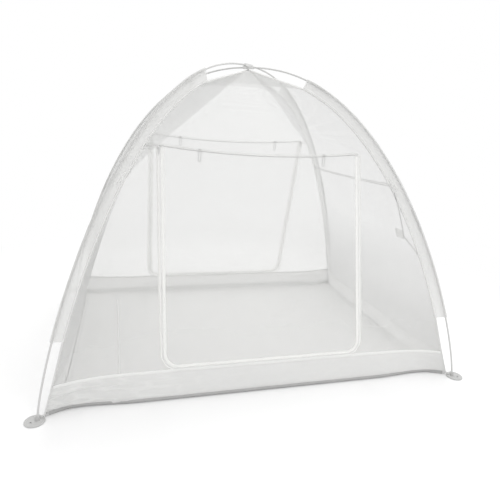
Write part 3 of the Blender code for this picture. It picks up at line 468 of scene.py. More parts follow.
def lifted(spot, across, height, lift):
    centre = spot(across, height)
    step = 0.0005
    normal = (spot(across + step, height) - centre).cross(spot(across, height + step) - centre)
    return centre + normal.normalized() * lift


def door_edge(height, inset):
    radius = DOOR_CORNER - inset
    drop = BAND_TOP + DOOR_CORNER - height
    if drop <= 0:
        return DOOR_HALF - inset
    return DOOR_HALF - DOOR_CORNER + math.sqrt(max(radius ** 2 - drop ** 2, 0))


def door_row(v, inset, high):
    centre = BAND_TOP + DOOR_CORNER
    if v <= CORNER_ROWS:
        return centre - (DOOR_CORNER - inset) * math.cos(math.pi / 2 * v / CORNER_ROWS)
    return between(centre, high, (v - CORNER_ROWS) / (1 - CORNER_ROWS))


# ---------- Materials ----------

class Shader:
    """A node tree under construction; every helper returns an output socket."""

    def __init__(self, owner, output="ShaderNodeOutputMaterial"):
        owner.use_nodes = True
        self.owner, self.tree = owner, owner.node_tree
        self.tree.nodes.clear()
        self.out = self.tree.nodes.new(output)

    def node(self, kind, values=(), **settings):
        made = self.tree.nodes.new(kind)
        for name, value in settings.items():
            setattr(made, name, value)
        for name, value in dict(values).items():
            if hasattr(value, "is_output"):
                self.tree.links.new(value, made.inputs[name])
            else:
                made.inputs[name].default_value = value
        return made

    def coordinates(self, kind="UV"):
        return self.node("ShaderNodeTexCoord").outputs[kind]

    def part(self, vector, axis):
        return self.node("ShaderNodeSeparateXYZ", {0: vector}).outputs[axis]

    def mapping(self, vector, **values):
        return self.node("ShaderNodeMapping", {"Vector": vector, **values}).outputs[0]

    def math(self, operation, *values):
        return self.node("ShaderNodeMath", dict(enumerate(values)), operation=operation).outputs[0]

    def mean(self, first, second):
        return self.math("MULTIPLY", self.math("ADD", first, second), 0.5)

    def highest(self, first, *others):
        for other in others:
            first = self.math("MAXIMUM", first, other)
        return first

    def wave(self, vector, direction, frequency):
        """A sine ripple from 0 to 1 along a direction; frequency counts ripples in a metre."""
        dot = self.node("ShaderNodeVectorMath", {0: vector, 1: (*direction, 0)},
                        operation="DOT_PRODUCT").outputs["Value"]
        sine = self.math("SINE", self.math("MULTIPLY", dot, frequency * 2 * math.pi))
        return self.math("MULTIPLY_ADD", sine, 0.5, 0.5)

    def noise(self, vector, scale, detail=3.0, rough=0.5):
        return self.node("ShaderNodeTexNoise", {"Vector": vector, "Scale": scale,
                         "Detail": detail, "Roughness": rough}).outputs["Fac"]

    def remap(self, value, low, high, to_low, to_high, **settings):
        return self.node("ShaderNodeMapRange", {"Value": value, "From Min": low, "From Max": high,
                         "To Min": to_low, "To Max": to_high}, **settings).outputs["Result"]

    def blend(self, factor, *colours):
        first, second = (c if hasattr(c, "is_output") else (*c, 1) for c in colours)
        return self.node("ShaderNodeMix", {0: factor, 6: first, 7: second}, data_type="RGBA").outputs[2]

    def bump(self, height, strength, distance, below=None):
        values = {"Height": height, "Strength": strength, "Distance": distance}
        if below is not None:
            values["Normal"] = below
        return self.node("ShaderNodeBump", values).outputs["Normal"]

    def principled(self, **values):
        shown = {name.replace("_", " "): value for name, value in values.items()}
        return self.node("ShaderNodeBsdfPrincipled", shown).outputs["BSDF"]

    def translucent(self, colour, normal):
        return self.node("ShaderNodeBsdfTranslucent", {"Color": colour, "Normal": normal}).outputs[0]

    def emission(self, strength):
        return self.node("ShaderNodeEmission", {"Strength": strength}).outputs[0]

    def mix(self, factor, first, second):
        return self.node("ShaderNodeMixShader", {0: factor, 1: first, 2: second}).outputs[0]

    def seen_rays(self):
        """1 for rays that the camera, a gloss or clear matter sends on, else 0."""
        path = self.node("ShaderNodeLightPath").outputs
        return self.highest(*(path[f"Is {kind} Ray"] for kind in ("Camera", "Glossy", "Transmission")))

    def finish(self, surface):
        self.tree.links.new(surface, self.out.inputs["Surface"])
        return self.owner


NET_CELL, SHEER_CELL, TAPE_CELL = 0.0022, 0.0011, 0.0008
THREADS = ((0.866, 0.5), (-0.866, 0.5), (0.0, 1.0))


def start(name):
    return Shader(bpy.data.materials.new(name))


def warm(level, blue):
    """A pale grey a trace warmer than neutral."""
    return level, level, blue


def shaded(colour, share):
    return tuple(min(1, c * share) for c in colour)


def net_material(name, cover, colour, cell=NET_CELL, low_cover=None, rise=(0.2, 1.0)):
    """Open mesh netting: fine threads with clear gaps, lit from both faces.

    low_cover is the cover below the first height of rise, easing back to cover by the second: painted shade that makes
    the net denser and darker towards the floor."""
    s = start(name)
    uv = s.coordinates()
    threads = s.highest(*(s.wave(uv, direction, 1 / cell) for direction in THREADS))
    cloud = s.noise(uv, 3.0, 4.0, 0.6)
    drift = s.remap(cloud, 0.3, 0.7, -0.03, 0.03)
    # Painted shade: the net grows denser, so darker, towards the floor
    if low_cover is not None:
        level = s.part(s.coordinates("Object"), "Z")
        drift = s.math("ADD", drift, s.remap(level, *rise, low_cover - cover, 0.0))
    alpha = s.math("ADD", s.remap(threads, 0.5, 1.0, cover - 0.20, cover + 0.14), drift)
    tint = s.blend(cloud, shaded(colour, 0.975), colour)
    normal = s.bump(threads, 0.25, 0.0004)
    face = s.principled(Base_Color=tint, Roughness=0.85, Specular_IOR_Level=0.15, Normal=normal)
    thread = s.mix(0.5, face, s.translucent(tint, normal))
    clear = s.node("ShaderNodeBsdfTransparent").outputs[0]
    return s.finish(s.mix(alpha, clear, thread))


# Pressed creases along the band's cloth: their ridges get a bump and a painted highlight
FOLD_TURN, FOLD_SCALE, FOLD_REACH, FOLD_WIDTH = math.radians(9), (5.0, 26.0, 1.0), (0.10, 0.75), 0.07
FOLD_REST, FOLD_RISE = 0.12, 0.004


def cloth_material(name, colour, pitch, rough=0.82, through=0.12, wrinkle=0.0015, folds=0.0):
    """Plain woven cloth with warp and weft, faint slubs and soft creases.

    folds is how much paler the cloth is painted along the ridges of its pressed creases, a painted highlight where
    light would catch them."""
    s = start(name)
    uv = s.coordinates()
    weave = s.highest(s.wave(uv, (1, 0), 1 / pitch), s.wave(uv, (0, 1), 1 / pitch))
    slub = s.noise(uv, 60.0, 3.0, 0.6)
    crease = s.noise(uv, 7.0, 5.0, 0.55)
    tint = s.blend(s.mean(slub, crease), shaded(colour, 0.95), shaded(colour, 1.02))
    below = s.bump(crease, 0.5, wrinkle)
    if folds:
        turned = s.mapping(uv, Rotation=(0, 0, FOLD_TURN), Scale=FOLD_SCALE)
        ridge = s.math("ABSOLUTE", s.math("SUBTRACT", s.noise(turned, 1.0, 2.0, 0.45), 0.5))
        slack = s.remap(s.part(uv, "X"), *FOLD_REACH, 1.0, FOLD_REST)
        ridge = s.math("MULTIPLY", s.remap(ridge, 0.0, FOLD_WIDTH, 1.0, 0.0), slack)
        # Painted highlight: the crease ridges are tinted paler, as if light caught them
        tint = s.blend(ridge, tint, shaded(colour, 1 + folds))
        below = s.bump(ridge, 0.6, FOLD_RISE, below)
    normal = s.bump(weave, 0.3, pitch * 0.4, below)
    face = s.principled(Base_Color=tint, Roughness=s.remap(slub, 0.3, 0.7, rough - 0.06, rough + 0.06),
                        Specular_IOR_Level=0.25, Normal=normal)
    return s.finish(s.mix(through, face, s.translucent(tint, normal)))


def plastic_material(name, colour, rough):
    s = start(name)
    spot = s.coordinates("Object")
    drift = s.noise(spot, 18.0, 3.0, 0.5)
    return s.finish(s.principled(
        Base_Color=s.blend(drift, shaded(colour, 0.96), colour),
        Roughness=s.remap(drift, 0.3, 0.7, rough - 0.05, rough + 0.07),
        Specular_IOR_Level=0.4, Normal=s.bump(s.noise(spot, 900.0, 2.0, 0.5), 0.12, 0.0002)))


def metal_material(name, colour):
    s = start(name)
    spot = s.coordinates("Object")
    brushed = s.noise(s.mapping(spot, Scale=(2500, 2500, 120)), 1.0, 2.0, 0.5)
    wear = s.noise(spot, 260.0, 4.0, 0.6)
    return s.finish(s.principled(
        Base_Color=s.blend(wear, shaded(colour, 0.88), colour), Metallic=0.9,
        Roughness=s.remap(wear, 0.3, 0.7, 0.28, 0.42), Normal=s.bump(brushed, 0.1, 0.0001)))


def fibre_material(name, colour):
    """Pultruded fibreglass rod: fine streaks along it under a satin skin."""
    s = start(name)
    spot = s.coordinates("Object")
    streak = s.noise(spot, 700.0, 3.0, 0.6)
    drift = s.noise(spot, 9.0, 3.0, 0.5)
    return s.finish(s.principled(
        Base_Color=s.blend(s.mean(streak, drift), shaded(colour, 0.93), colour),
        Roughness=s.remap(streak, 0.3, 0.7, 0.36, 0.48),
        Specular_IOR_Level=0.45, Normal=s.bump(streak, 0.08, 0.0002)))


net_cloth = net_material("fine_net", 0.34, warm(0.835, 0.826), low_cover=0.54, rise=(0.16, 0.62))
# The short sides' net is a greyer copy of the front's, standing in for net seen at a slant and for painted shade; the
# left copy is darker still, painted shade on the side away from the key lamp
side_nets = {
    "right": net_material("side_net", 0.24, warm(0.60, 0.594), low_cover=0.80, rise=(0.25, 0.72)),
    "left": net_material("left_net", 0.24, warm(0.56, 0.554), low_cover=0.82, rise=(0.44, 0.78)),
}
patch_cloth = net_material("peak_net", 0.34, warm(0.76, 0.752), SHEER_CELL)
sleeve_cloth = net_material("sleeve_sheer", 0.60, warm(0.86, 0.851), SHEER_CELL)
zip_cloth = net_material("zip_tape", 0.86, warm(1.0, 0.99), TAPE_CELL)
seam_cloth = net_material("seam_tape", 0.42, warm(0.95, 0.94), TAPE_CELL)
# The band's crease ridges carry a painted highlight, 6.5% paler than the cloth
band_cloth = cloth_material("band_cloth", warm(0.81, 0.802), 0.0009, through=0.36, folds=0.065)
floor_cloth = cloth_material("floor_cloth", warm(0.79, 0.782), 0.0011, through=0.0)
tape_cloth = cloth_material("tape_cloth", warm(0.95, 0.94), 0.0006, 0.75, 0.3, 0.0004)
roll_cloth = cloth_material("seam_roll", warm(0.52, 0.515), 0.0006, 0.8, 0.1, 0.0002)
# Dark grey tape at the bands' feet: painted shadow along the ground
ground_tape = cloth_material("ground_tape", warm(0.44, 0.436), 0.0006, 0.8, 0.0, 0.0003)
strap_cloth = cloth_material("strap_cloth", warm(0.74, 0.732), 0.0012, 0.75, 0.05, 0.0004)
cord_cloth = cloth_material("cord_cloth", warm(0.60, 0.594), 0.0008, 0.8, 0.0, 0.0002)
loop_cloth = cloth_material("loop_cloth", warm(0.42, 0.416), 0.0006, 0.8, 0.0, 0.0002)
rod_fibre = fibre_material("rod_fibre", warm(0.62, 0.613))
foot_plastic = plastic_material("foot_plastic", warm(0.52, 0.514), 0.45)
clip_plastic = plastic_material("clip_plastic", warm(0.70, 0.692), 0.45)
chain_nylon = plastic_material("chain_nylon", warm(0.92, 0.911), 0.4)
slider_zinc = metal_material("slider_zinc", (0.70, 0.70, 0.70))


# ---------- Making pieces ----------

# Degrees between faces above which an edge looks crisp
THICK_SHARP, RIBBON_SHARP, ROD_SHARP = 50, 40, 35
# Cloth length to height on a panel's slope
LONG_STRETCH, SHORT_STRETCH = 1.03, 1.05


def new_object(name, data):
    item = bpy.data.objects.new(name, data)
    bpy.context.scene.collection.objects.link(item)
    return item


def ride_on(item, body, replaced, slot):
    if body is not None:
        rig.ride(item, body)
    if replaced:
        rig.replaces(item, *replaced)
    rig.slot(item, slot)
    return item


def add_piece(name, points, faces, surface, slot, uvs=None, body="tent", replaced=(), thick=0.0,
              sharp=None):
    mesh = bpy.data.meshes.new(name)
    mesh.from_pydata([tuple(p) for p in points], [], faces)
    mesh.update()
    if uvs is not None:
        layer = mesh.uv_layers.new(name="cloth")
        for loop in mesh.loops:
            layer.data[loop.index].uv = uvs[loop.vertex_index]
    mesh.shade_smooth()
    mesh.materials.append(surface)
    item = new_object(name, mesh)
    if thick:
        shell = item.modifiers.new("Solidify", "SOLIDIFY")
        shell.thickness = thick
        shell.offset = 0
    if thick or sharp:
        mesh.set_sharp_from_angle(angle=math.radians(sharp or THICK_SHARP))
    return ride_on(item, body, replaced, slot)


def quads(rows, wide, wrap=False, flip=False):
    """Faces between rows of points; wrap joins each row's ends, flip turns the faces over."""
    faces = []
    for base in range(0, (rows - 1) * wide, wide):
        for first in range(wide if wrap else wide - 1):
            second = (first + 1) % wide
            face = (base + first, base + second, base + wide + second, base + wide + first)
            faces.append((face[0], *face[:0:-1]) if flip else face)
    return faces


def pipe_faces(rows, wide):
    last = (rows - 1) * wide
    return [*quads(rows, wide, wrap=True), tuple(range(wide))[::-1], tuple(range(last, last + wide))]


def grid(place, columns, rows, uv=None):
    """Points, faces and coordinates of one patch; place takes whole column and row numbers."""
    points = [place(column, row) for row in range(rows + 1) for column in range(columns + 1)]
    return points, quads(rows + 1, columns + 1), [uv(point) for point in points] if uv else None


def joined(patches, close=0.00002):
    """Several patches as one set of points, with points that meet merged."""
    points, faces, uvs, known = [], [], [], {}
    for patch_points, patch_faces, patch_uvs in patches:
        index = []
        for point, uv in zip(patch_points, patch_uvs):
            key = tuple(round(c / close) for c in point)
            if key not in known:
                known[key] = len(points)
                points.append(point)
                uvs.append(uv)
            index.append(known[key])
        for face in patch_faces:
            ends = [index[i] for i in face]
            kept = [c for i, c in enumerate(ends) if c != ends[i - 1]]
            if len(kept) > 2:
                faces.append(tuple(kept))
    return points, faces, uvs


def measured(points, wide):
    """Coordinates in metres along rows of points and from row to row, from the points themselves."""
    rows = [points[i:i + wide] for i in range(0, len(points), wide)]
    uvs, far, middle = [], 0.0, (wide - 1) // 2
    for number, row in enumerate(rows):
        if number:
            far += (row[middle] - rows[number - 1][middle]).length
        across = 0.0
        for column, point in enumerate(row):
            if column:
                across += (point - row[column - 1]).length
            uvs.append((across, far))
    return uvs


def add_strip(name, points, wide, surface, slot="white_tape", flip=False, **options):
    """A piece of open rows of points."""
    faces = quads(len(points) // wide, wide, flip=flip)
    return add_piece(name, points, faces, surface, slot, measured(points, wide), **options)


def tube(line, radius, sides, plane=None):
    """Points and faces of a round cord along a line."""
    points, side = [], plane
    for i, spot in enumerate(line):
        flow = (line[min(i + 1, len(line) - 1)] - line[max(i - 1, 0)]).normalized()
        if plane is None:
            guess = side or UP
            side = (guess - flow * guess.dot(flow)).normalized()
        other = flow.cross(side).normalized()
        for step in range(sides):
            angle = 2 * math.pi * step / sides
            points.append(spot + (side * math.cos(angle) + other * math.sin(angle)) * radius)
    return points, pipe_faces(len(line), sides)


def merge(*solids):
    """Several forms as one set of points, faces and coordinates; a form may come without these last."""
    points, faces, uvs = [], [], []
    for more_points, more_faces, *more_uvs in solids:
        base = len(points)
        points += more_points
        faces += [tuple(base + i for i in face) for face in more_faces]
        uvs += more_uvs[0] if more_uvs else [(p.x + p.y, p.z) for p in more_points]
    return points, faces, uvs


def declare_sheet(item, held, rests_on, flat, with_pieces=()):
    area = sum(p.area for p in item.data.polygons)
    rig.sheet(item, flat=flat, held=held, rests_on=rests_on,
             area=round(area, 5) if area < flat[0] * flat[1] else None, with_pieces=with_pieces)


def long_uv(point):
    return point.x, point.z * LONG_STRETCH


def short_uv(point):
    return point.y, point.z * SHORT_STRETCH


def flat_uv(point):
    return point.x, point.y


# ---------- Camera, light and floor ----------

def make_camera():
    camera = new_object("camera", bpy.data.cameras.new("camera"))
    camera.data.sensor_width = SENSOR
    camera.data.lens = CAMERA_FOCAL / FRAME_PIXELS * SENSOR
    camera.data.clip_start = CLIP_START
    turned = Matrix.Translation(CAMERA_PLACE)
    for angle, axis in ((-CAMERA_YAW, "Z"), (90 - CAMERA_PITCH, "X"), (CAMERA_ROLL, "Z")):
        turned @= Matrix.Rotation(math.radians(angle), 4, axis)
    camera.matrix_world = turned
    bpy.context.scene.camera = camera


def make_world():
    world = bpy.data.worlds.new("studio")
    bpy.context.scene.world = world
    s = Shader(world, "ShaderNodeOutputWorld")
    light, white = (s.node("ShaderNodeBackground", {"Color": WHITE, "Strength": strength}).outputs[0]
                    for strength in (WORLD_LIGHT, 1.0))
    s.finish(s.mix(s.seen_rays(), light, white))


def make_floor():
    mesh = bpy.data.meshes.new("studio_floor")
    corners = [(x * FLOOR_REACH, y * FLOOR_REACH, 0) for x, y in ((-1, -1), (1, -1), (1, 1), (-1, 1))]
    mesh.from_pydata(corners, [], [(0, 1, 2, 3)])
    floor = new_object("studio_floor", mesh)
    floor.location.z = -FLOOR_DROP
    s = start("studio_floor")
    matte = s.node("ShaderNodeBsdfDiffuse", {"Color": (FLOOR_GREY, FLOOR_GREY, FLOOR_GREY, 1)}).outputs[0]
    seen = s.seen_rays()
    glow = s.emission(s.math("MULTIPLY", seen, FLOOR_GLOW))
    near = s.node("ShaderNodeAddShader", {0: matte, 1: glow}).outputs[0]
    away = s.node("ShaderNodeVectorMath", {0: s.coordinates("Object")}, operation="LENGTH").outputs["Value"]
    share = s.remap(away, FLOOR_NEAR, FLOOR_FAR, 0.0, 1.0, interpolation_type="SMOOTHSTEP")
    mesh.materials.append(s.finish(s.mix(s.math("MULTIPLY", share, seen), near, s.emission(1.0))))
    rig.stage(floor)


make_camera()
make_world()
make_floor()
for lamp_name, lamp_place, lamp_target, lamp_size, lamp_power in LAMPS:
    lamp = bpy.data.lights.new(lamp_name, "AREA")
    lamp.shape, lamp.size, lamp.energy = "SQUARE", lamp_size, lamp_power
    lamp_item = new_object(lamp_name, lamp)
    lamp_item.location = lamp_place
    lamp_item.rotation_mode = "QUATERNION"
    lamp_item.rotation_quaternion = (Vector(lamp_target) - Vector(lamp_place)).to_track_quat("-Z", "Y")
bpy.context.scene.view_settings.view_transform = "Standard"


# ---------- Net ----------

def fade(value, width):
    share = max(0.0, min(1.0, value / width))
    return share * share * (3 - 2 * share)


def rippled(name, seam, seed, lean, door_top=0.0):
    """A side's surface with soft ripples, which die out at seams, corners, hems and zips."""
    surface, half, outward = WALLS[name]
    out = (outward + UP * lean).normalized()

    def spot(across, height):
        point = surface(across, height)
        share = fade(half(height) - abs(across), EDGE_FADE) * fade(height - BAND_TOP, SEAM_FADE)
        share *= fade(abs(height - seam(across)), SEAM_FADE) * fade(PEAK_HEIGHT - height, EDGE_FADE)
        if height < door_top:
            share *= fade(abs(abs(across) - DOOR_HALF) - ZIP_REACH, SEAM_FADE)
        wave = sum(noise.noise(Vector((point.x * wide, point.y * wide, point.z * tall + seed))) * strength
                   for wide, tall, strength in RIPPLES)
        return point + out * (wave * NET_RIPPLE * share)
    return spot


def side_net(side, spot):
    """Roof and both walls of a long side as one sheet with the doorway cut out of it."""
    seam_height = SIDES[side][1]
    seam_half = long_half(seam_height)
    opening = door_edge(seam_height, -WALL_EDGE_GAP)
    spread_x = [*spread(-seam_half, -opening, WALL_COLUMNS), *spread(-DOOR_HALF, DOOR_HALF, DOORWAY_COLUMNS),
                *spread(opening, seam_half, WALL_COLUMNS)]

    def roof(column, row):
        x = spread_x[column]
        height = between(seam_line(side, x), PEAK_HEIGHT, row / ROOF_ROWS)
        return spot(x / seam_half * long_half(height), height)

    def wall(sign, column, row):
        height = max(door_row(row / WALL_ROWS, -WALL_EDGE_GAP, seam_height), BAND_TOP + SEAM_GAP)
        x = between(door_edge(height, -WALL_EDGE_GAP), long_half(height), column / WALL_COLUMNS)
        return spot(sign * x, height)

    return joined([grid(roof, len(spread_x) - 1, ROOF_ROWS, long_uv),
                   *(grid(partial(wall, sign), WALL_COLUMNS, WALL_ROWS, long_uv) for sign in (-1, 1))])


def blended(piece, side):
    """Cloth on a door bends below the sagging seam that it is sewn to."""
    low = SIDES[side][1] - SEAM_SAG
    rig.blend(piece, "tent", f"door_{side}",
             long_wall(side, 0, low - BEND_TOP), long_wall(side, 0, low - BEND_BOTTOM))


def tuck(point, outward):
    """How far a band's foot curves in under itself, less its flare from the hem down.

    Both die out at a corner, where two bands meet; only the long sides flare."""
    drop = max(0.0, EDGE_ROUND - point.z)
    depth = EDGE_ROUND - math.sqrt(EDGE_ROUND ** 2 - drop ** 2)
    if outward.x:
        return min(depth, TUCK_SHARE * max(abs(point.x) - abs(point.y) * ACROSS / DEEP, 0.0))
    room = max(abs(point.y) - abs(point.x) * DEEP / ACROSS, 0.0)
    flare = FLARE * max(0.0, 1 - point.z / BAND_TOP) ** FLARE_POWER
    return min(depth, TUCK_SHARE * room) - flare * fade(room, FLARE_ROOM)


def make_band(name, seed, loose, flat):
    """A band's cloth, creased where it is slack, with its hem, and at the ground a dark binding that paints the shadow
    under its foot.
    """
    surface, half, outward = WALLS[name]
    levels = [between(BAND_BOTTOM, EDGE_ROUND, (row / FOOT_ROWS) ** FOOT_POWER) for row in range(FOOT_ROWS)]
    levels += spread(EDGE_ROUND, BAND_TOP, BAND_ROWS)

    def crease_at(across, share, wide, tall, slant, lean, step):
        return noise.noise(Vector((across * wide + share * slant, share * tall + across * lean, seed + step)))

    def cloth(column, row):
        height = levels[row]
        share = (height - BAND_BOTTOM) / (BAND_TOP - BAND_BOTTOM)
        across = 2 * column / BAND_COLUMNS - 1
        point = surface(across * half(height), height)
        calm = math.sin(math.pi * share) * fade(1 - abs(across), BAND_END_FADE)
        crease = sum(crease_at(across, share, *shape) * strength for *shape, strength in CREASES)
        ridge = max(1 - RIDGE_SHARP * abs(crease_at(across, share, *RIDGE)), 0.0)
        crease += RIDGE_STRENGTH * ridge ** 2
        slack = BAND_SLACK * (EVEN_SLACK + LOOSE_SLACK * loose(across))
        return point + outward * (crease * slack * calm - tuck(point, outward))

    def binding(across, height, out):
        spot = surface(across * FOOT_SHARE * half(BAND_BOTTOM), height)
        return spot + outward * (out - tuck(spot, outward))

    def hem(across, rise, lift):
        return lifted(surface, across * (half(BAND_TOP) - HEM_INSET), BAND_TOP + rise, lift)

    def trim(kind, point, rows, trim_surface, flip=False):
        points = [point(across, *row) for across in spread(-1, 1, BAND_COLUMNS) for row in rows]
        return add_strip(f"{kind}_{name}", points, len(rows), trim_surface, flip=flip)

    points = grid(cloth, BAND_COLUMNS, len(levels) - 1)[0]
    piece = add_strip(f"band_cloth_{name}", points, BAND_COLUMNS + 1, band_cloth, "white_cloth",
                      replaced=(f"band_{name}",))
    # The foot's binding is dark grey: painted shadow along the band's bottom edge
    sewn_on = [trim("band_hem", hem, HEM_LEVELS, tape_cloth),
               trim("foot_binding", binding, FOOT_LEVELS, ground_tape, flip=True)]
    declare_sheet(piece, "hung", [f"net_{name}"], flat, sewn_on)


def seam_tape(name, seam, half_seam, reach, skip, rolls):
    """Tape along a seam, just above a roof panel's lower edge on its inner face, with rolled edges."""
    surface, half, _ = WALLS[name]

    def roof(share, rise):
        x = (2 * share - 1) * reach
        height = between(seam(x) + SEAM_GAP / 2, PEAK_HEIGHT, rise)
        return surface(x / half_seam * half(height), height)

    lift = (NET + TAPE) / 2 + SEAM_TAPE_LIFT
    points, edges = [], {v: [] for v in rolls}
    for step in range(SEAM_STEPS + 1):
        share = between(skip, 1 - skip, step / SEAM_STEPS)
        low, high = roof(share, 0.0), roof(share, SEAM_RISE)
        flow = roof(min(share + SEAM_REACH, 1), 0) - roof(max(share - SEAM_REACH, 0), 0)
        normal = flow.cross(high - low).normalized()
        rise = (high - low).normalized()
        for v in spread(0, 1, SEAM_COLUMNS):
            ruck = SEAM_RUCK * math.sin(step * 1.9 + v * 4)
            points.append(low + rise * (SEAM_TAPE_START + SEAM_TAPE_WIDTH * v) - normal * (lift + ruck))
        for v, line in edges.items():
            line.append(low + rise * (SEAM_TAPE_START + SEAM_TAPE_WIDTH * v) - normal * (lift + TAPE))
    tape = add_strip(f"seam_binding_{name}", points, SEAM_COLUMNS + 1, seam_cloth,
                     replaced=(f"seam_tape_{name}",), thick=TAPE)
    points, faces, uvs = merge(*(tube(line, SEAM_ROLL, CORD_SIDES) for line in edges.values()))
    return [tape, add_piece(f"seam_binding_{name}_roll", points, faces, roll_cloth, "white_tape", uvs)]


def door_route(side, legs, bends):
    """The doorway's outline as a U of points, each with its outward direction."""
    top = SIDES[side][1] - TAPE_TOP_GAP
    low = BAND_TOP + DOOR_CORNER
    centre = DOOR_HALF - DOOR_CORNER
    route = [((-DOOR_HALF, between(top, low, step / legs)), (-1, 0)) for step in range(legs)]
    for angle in spread(0, math.pi / 2, bends):
        out = (-math.cos(angle), -math.sin(angle))
        route.append((along((-centre, low), out, DOOR_CORNER), out))
    floor_run = [((between(-centre, centre, step / legs), BAND_TOP), (0, -1)) for step in range(1, legs)]
    return route + floor_run + [((-point[0], point[1]), (-out[0], out[1])) for point, out in reversed(route)]


def route_tape(kind, side, start_out, width, lift, node, **options):
    """A tape that follows the doorway, from a distance outward of its outline."""
    points = []
    for step, (point, out) in enumerate(door_route(side, *TAPE_STEPS)):
        for column in range(TAPE_COLUMNS + 1):
            x, height = along(point, out, start_out + width * column / TAPE_COLUMNS)
            ruck = TAPE_RUCK * math.sin(step * 0.9 + column)
            points.append(lifted(WALLS[side][0], x, height, lift + ruck))
    return add_strip(f"{kind}_{side}", points, TAPE_COLUMNS + 1, zip_cloth, replaced=(node,), thick=TAPE,
                     **options)


TOOTH = ((-1, -1, 0), (1, -1, 0), (1, 1, 0), (-1, 1, 0),
         (-0.8, -0.5, 1), (0.8, -0.5, 1), (0.8, 0.5, 1), (-0.8, 0.5, 1))
TOOTH_FACES = [(3, 2, 1, 0), (4, 5, 6, 7), (0, 1, 5, 4), (1, 2, 6, 5), (2, 3, 7, 6), (3, 0, 4, 7)]


def chain(name, side, tooth, lift, **options):
    """Rows of moulded teeth along the doorway; each tooth is a small rounded bar."""
    centre, half, height = tooth
    route = door_route(side, *CHAIN_STEPS)
    line = [along(point, out, centre) for point, out in route]
    outs = [Vector((*out, 0)) for _, out in route]
    solids, carry, reach = [], 0.0, TOOTH_PITCH * TOOTH_LENGTH
    for i, (low, high) in enumerate(zip(line, line[1:])):
        length = math.dist(low, high)
        while carry < length:
            share = carry / length
            out = outs[i].lerp(outs[i + 1], share).normalized()
            x, level = (between(a, b, share) for a, b in zip(low, high))
            solids.append(([lifted(WALLS[side][0],
                                   x + out.x * across * half - out.y * forward * reach,
                                   level + out.y * across * half + out.x * forward * reach,
                                   lift + rise * height)
                            for across, forward, rise in TOOTH], TOOTH_FACES))
            carry += TOOTH_PITCH
        carry -= length
    return add_piece(f"{name}_{side}", *merge(*solids)[:2], chain_nylon, "white_tape", **options)


def wall_trim(side):
    """The narrow tapes that are sewn on a wall."""
    pieces = []
    for name, (route, half, lift, surface) in TRIM.get(side, {}).items():
        points = []
        for i, spot in enumerate(route):
            square = left_of(route[max(i - 1, 0)], route[min(i + 1, len(route) - 1)])
            points += [lifted(WALLS[side][0], *along(spot, square, half * v), lift) for v in (-1, 0, 1)]
        pieces.append(add_strip(name, points, 3, surface, thick=TRIM_THICK))
    return pieces


# Trim on the walls: a route of places and heights, half width, lift and cloth. A dart runs up beside
# the front door. A hanging pocket's tape, tab and tie cord are inside the right wall.
TRIM = {
    "front": {"wall_dart_front_left": (
        [(-0.68, z) for z in spread(BAND_TOP + 0.004, 0.45, 24)], 0.0011, 0.0012, tape_cloth)},
    "right": {
        "hang_tape": ([(-0.51, z) for z in spread(0.70, 0.93, 14)], 0.0028, -0.004, roll_cloth),
        "hang_tab": ([(-0.482, z) for z in spread(0.688, 0.735, 5)], 0.030, -0.006, sleeve_cloth),
        "hang_cord": ([(-0.505 - 0.09 * s, 0.700 - 0.012 * math.sin(3 * s) - 0.075 * s ** 2)
                       for s in spread(0, 1, 14)], 0.0028, -0.005, roll_cloth),
    },
}


def make_long_side(name, ripple_seed, band_seed):
    """A side with a door: its net, the door with its zip, the seam tape and the band."""
    seam_height = SIDES[name][1]
    seam = partial(seam_line, name)
    spot = rippled(name, seam, ripple_seed, 0.25, seam_height)
    points, faces, uvs = side_net(name, spot)
    net = add_piece(f"net_{name}", points, faces, net_cloth, "white_net", uvs,
                    replaced=(f"roof_{name}", f"wall_{name}_left", f"wall_{name}_right"))

    def door(column, row):
        share = 2 * column / DOOR_COLUMNS - 1
        high = seam(share * (DOOR_HALF - DOOR_GAP)) - DOOR_TOP_GAP
        height = door_row(row / DOOR_ROWS, DOOR_GAP, high)
        return spot(share * door_edge(height, DOOR_GAP), height)

    points, faces, uvs = grid(door, DOOR_COLUMNS, DOOR_ROWS, long_uv)
    door_net = add_piece(f"door_net_{name}", points, faces, net_cloth, "white_net", uvs, body=None,
                         replaced=(f"door_{name}",))
    edge_tape = route_tape("door_edge_tape", name, -DOOR_GAP - EDGE_TAPE, EDGE_TAPE, TAPE_OFFSET,
                           f"door_tape_{name}", body=None)
    declare_sheet(door_net, "hung", [f"net_{name}"], DOOR_FLAT[name], [edge_tape])
    zip_tape = route_tape("zip_tape", name, -CHAIN_HALF, ZIP_TAPE, -TAPE_OFFSET, f"zip_{name}")
    chain("zip_chain", name, ZIP_TOOTH, TAPE / 2 - TAPE_OFFSET)
    door_chain = chain("door_chain", name, DOOR_TOOTH, TAPE_OFFSET - TAPE / 2, body=None)
    for piece in (door_net, edge_tape, door_chain):
        blended(piece, name)
    sewn_on = seam_tape(name, seam, long_half(seam_height), DOOR_HALF, 0.0, (0.0,))
    declare_sheet(net, "hung", SLEEVES, NET_FLAT, sewn_on + [zip_tape] + wall_trim(name))
    make_band(name, band_seed, lambda across: 1.0 - fade(across + 1, SLACK_REACH), BAND_FLAT)


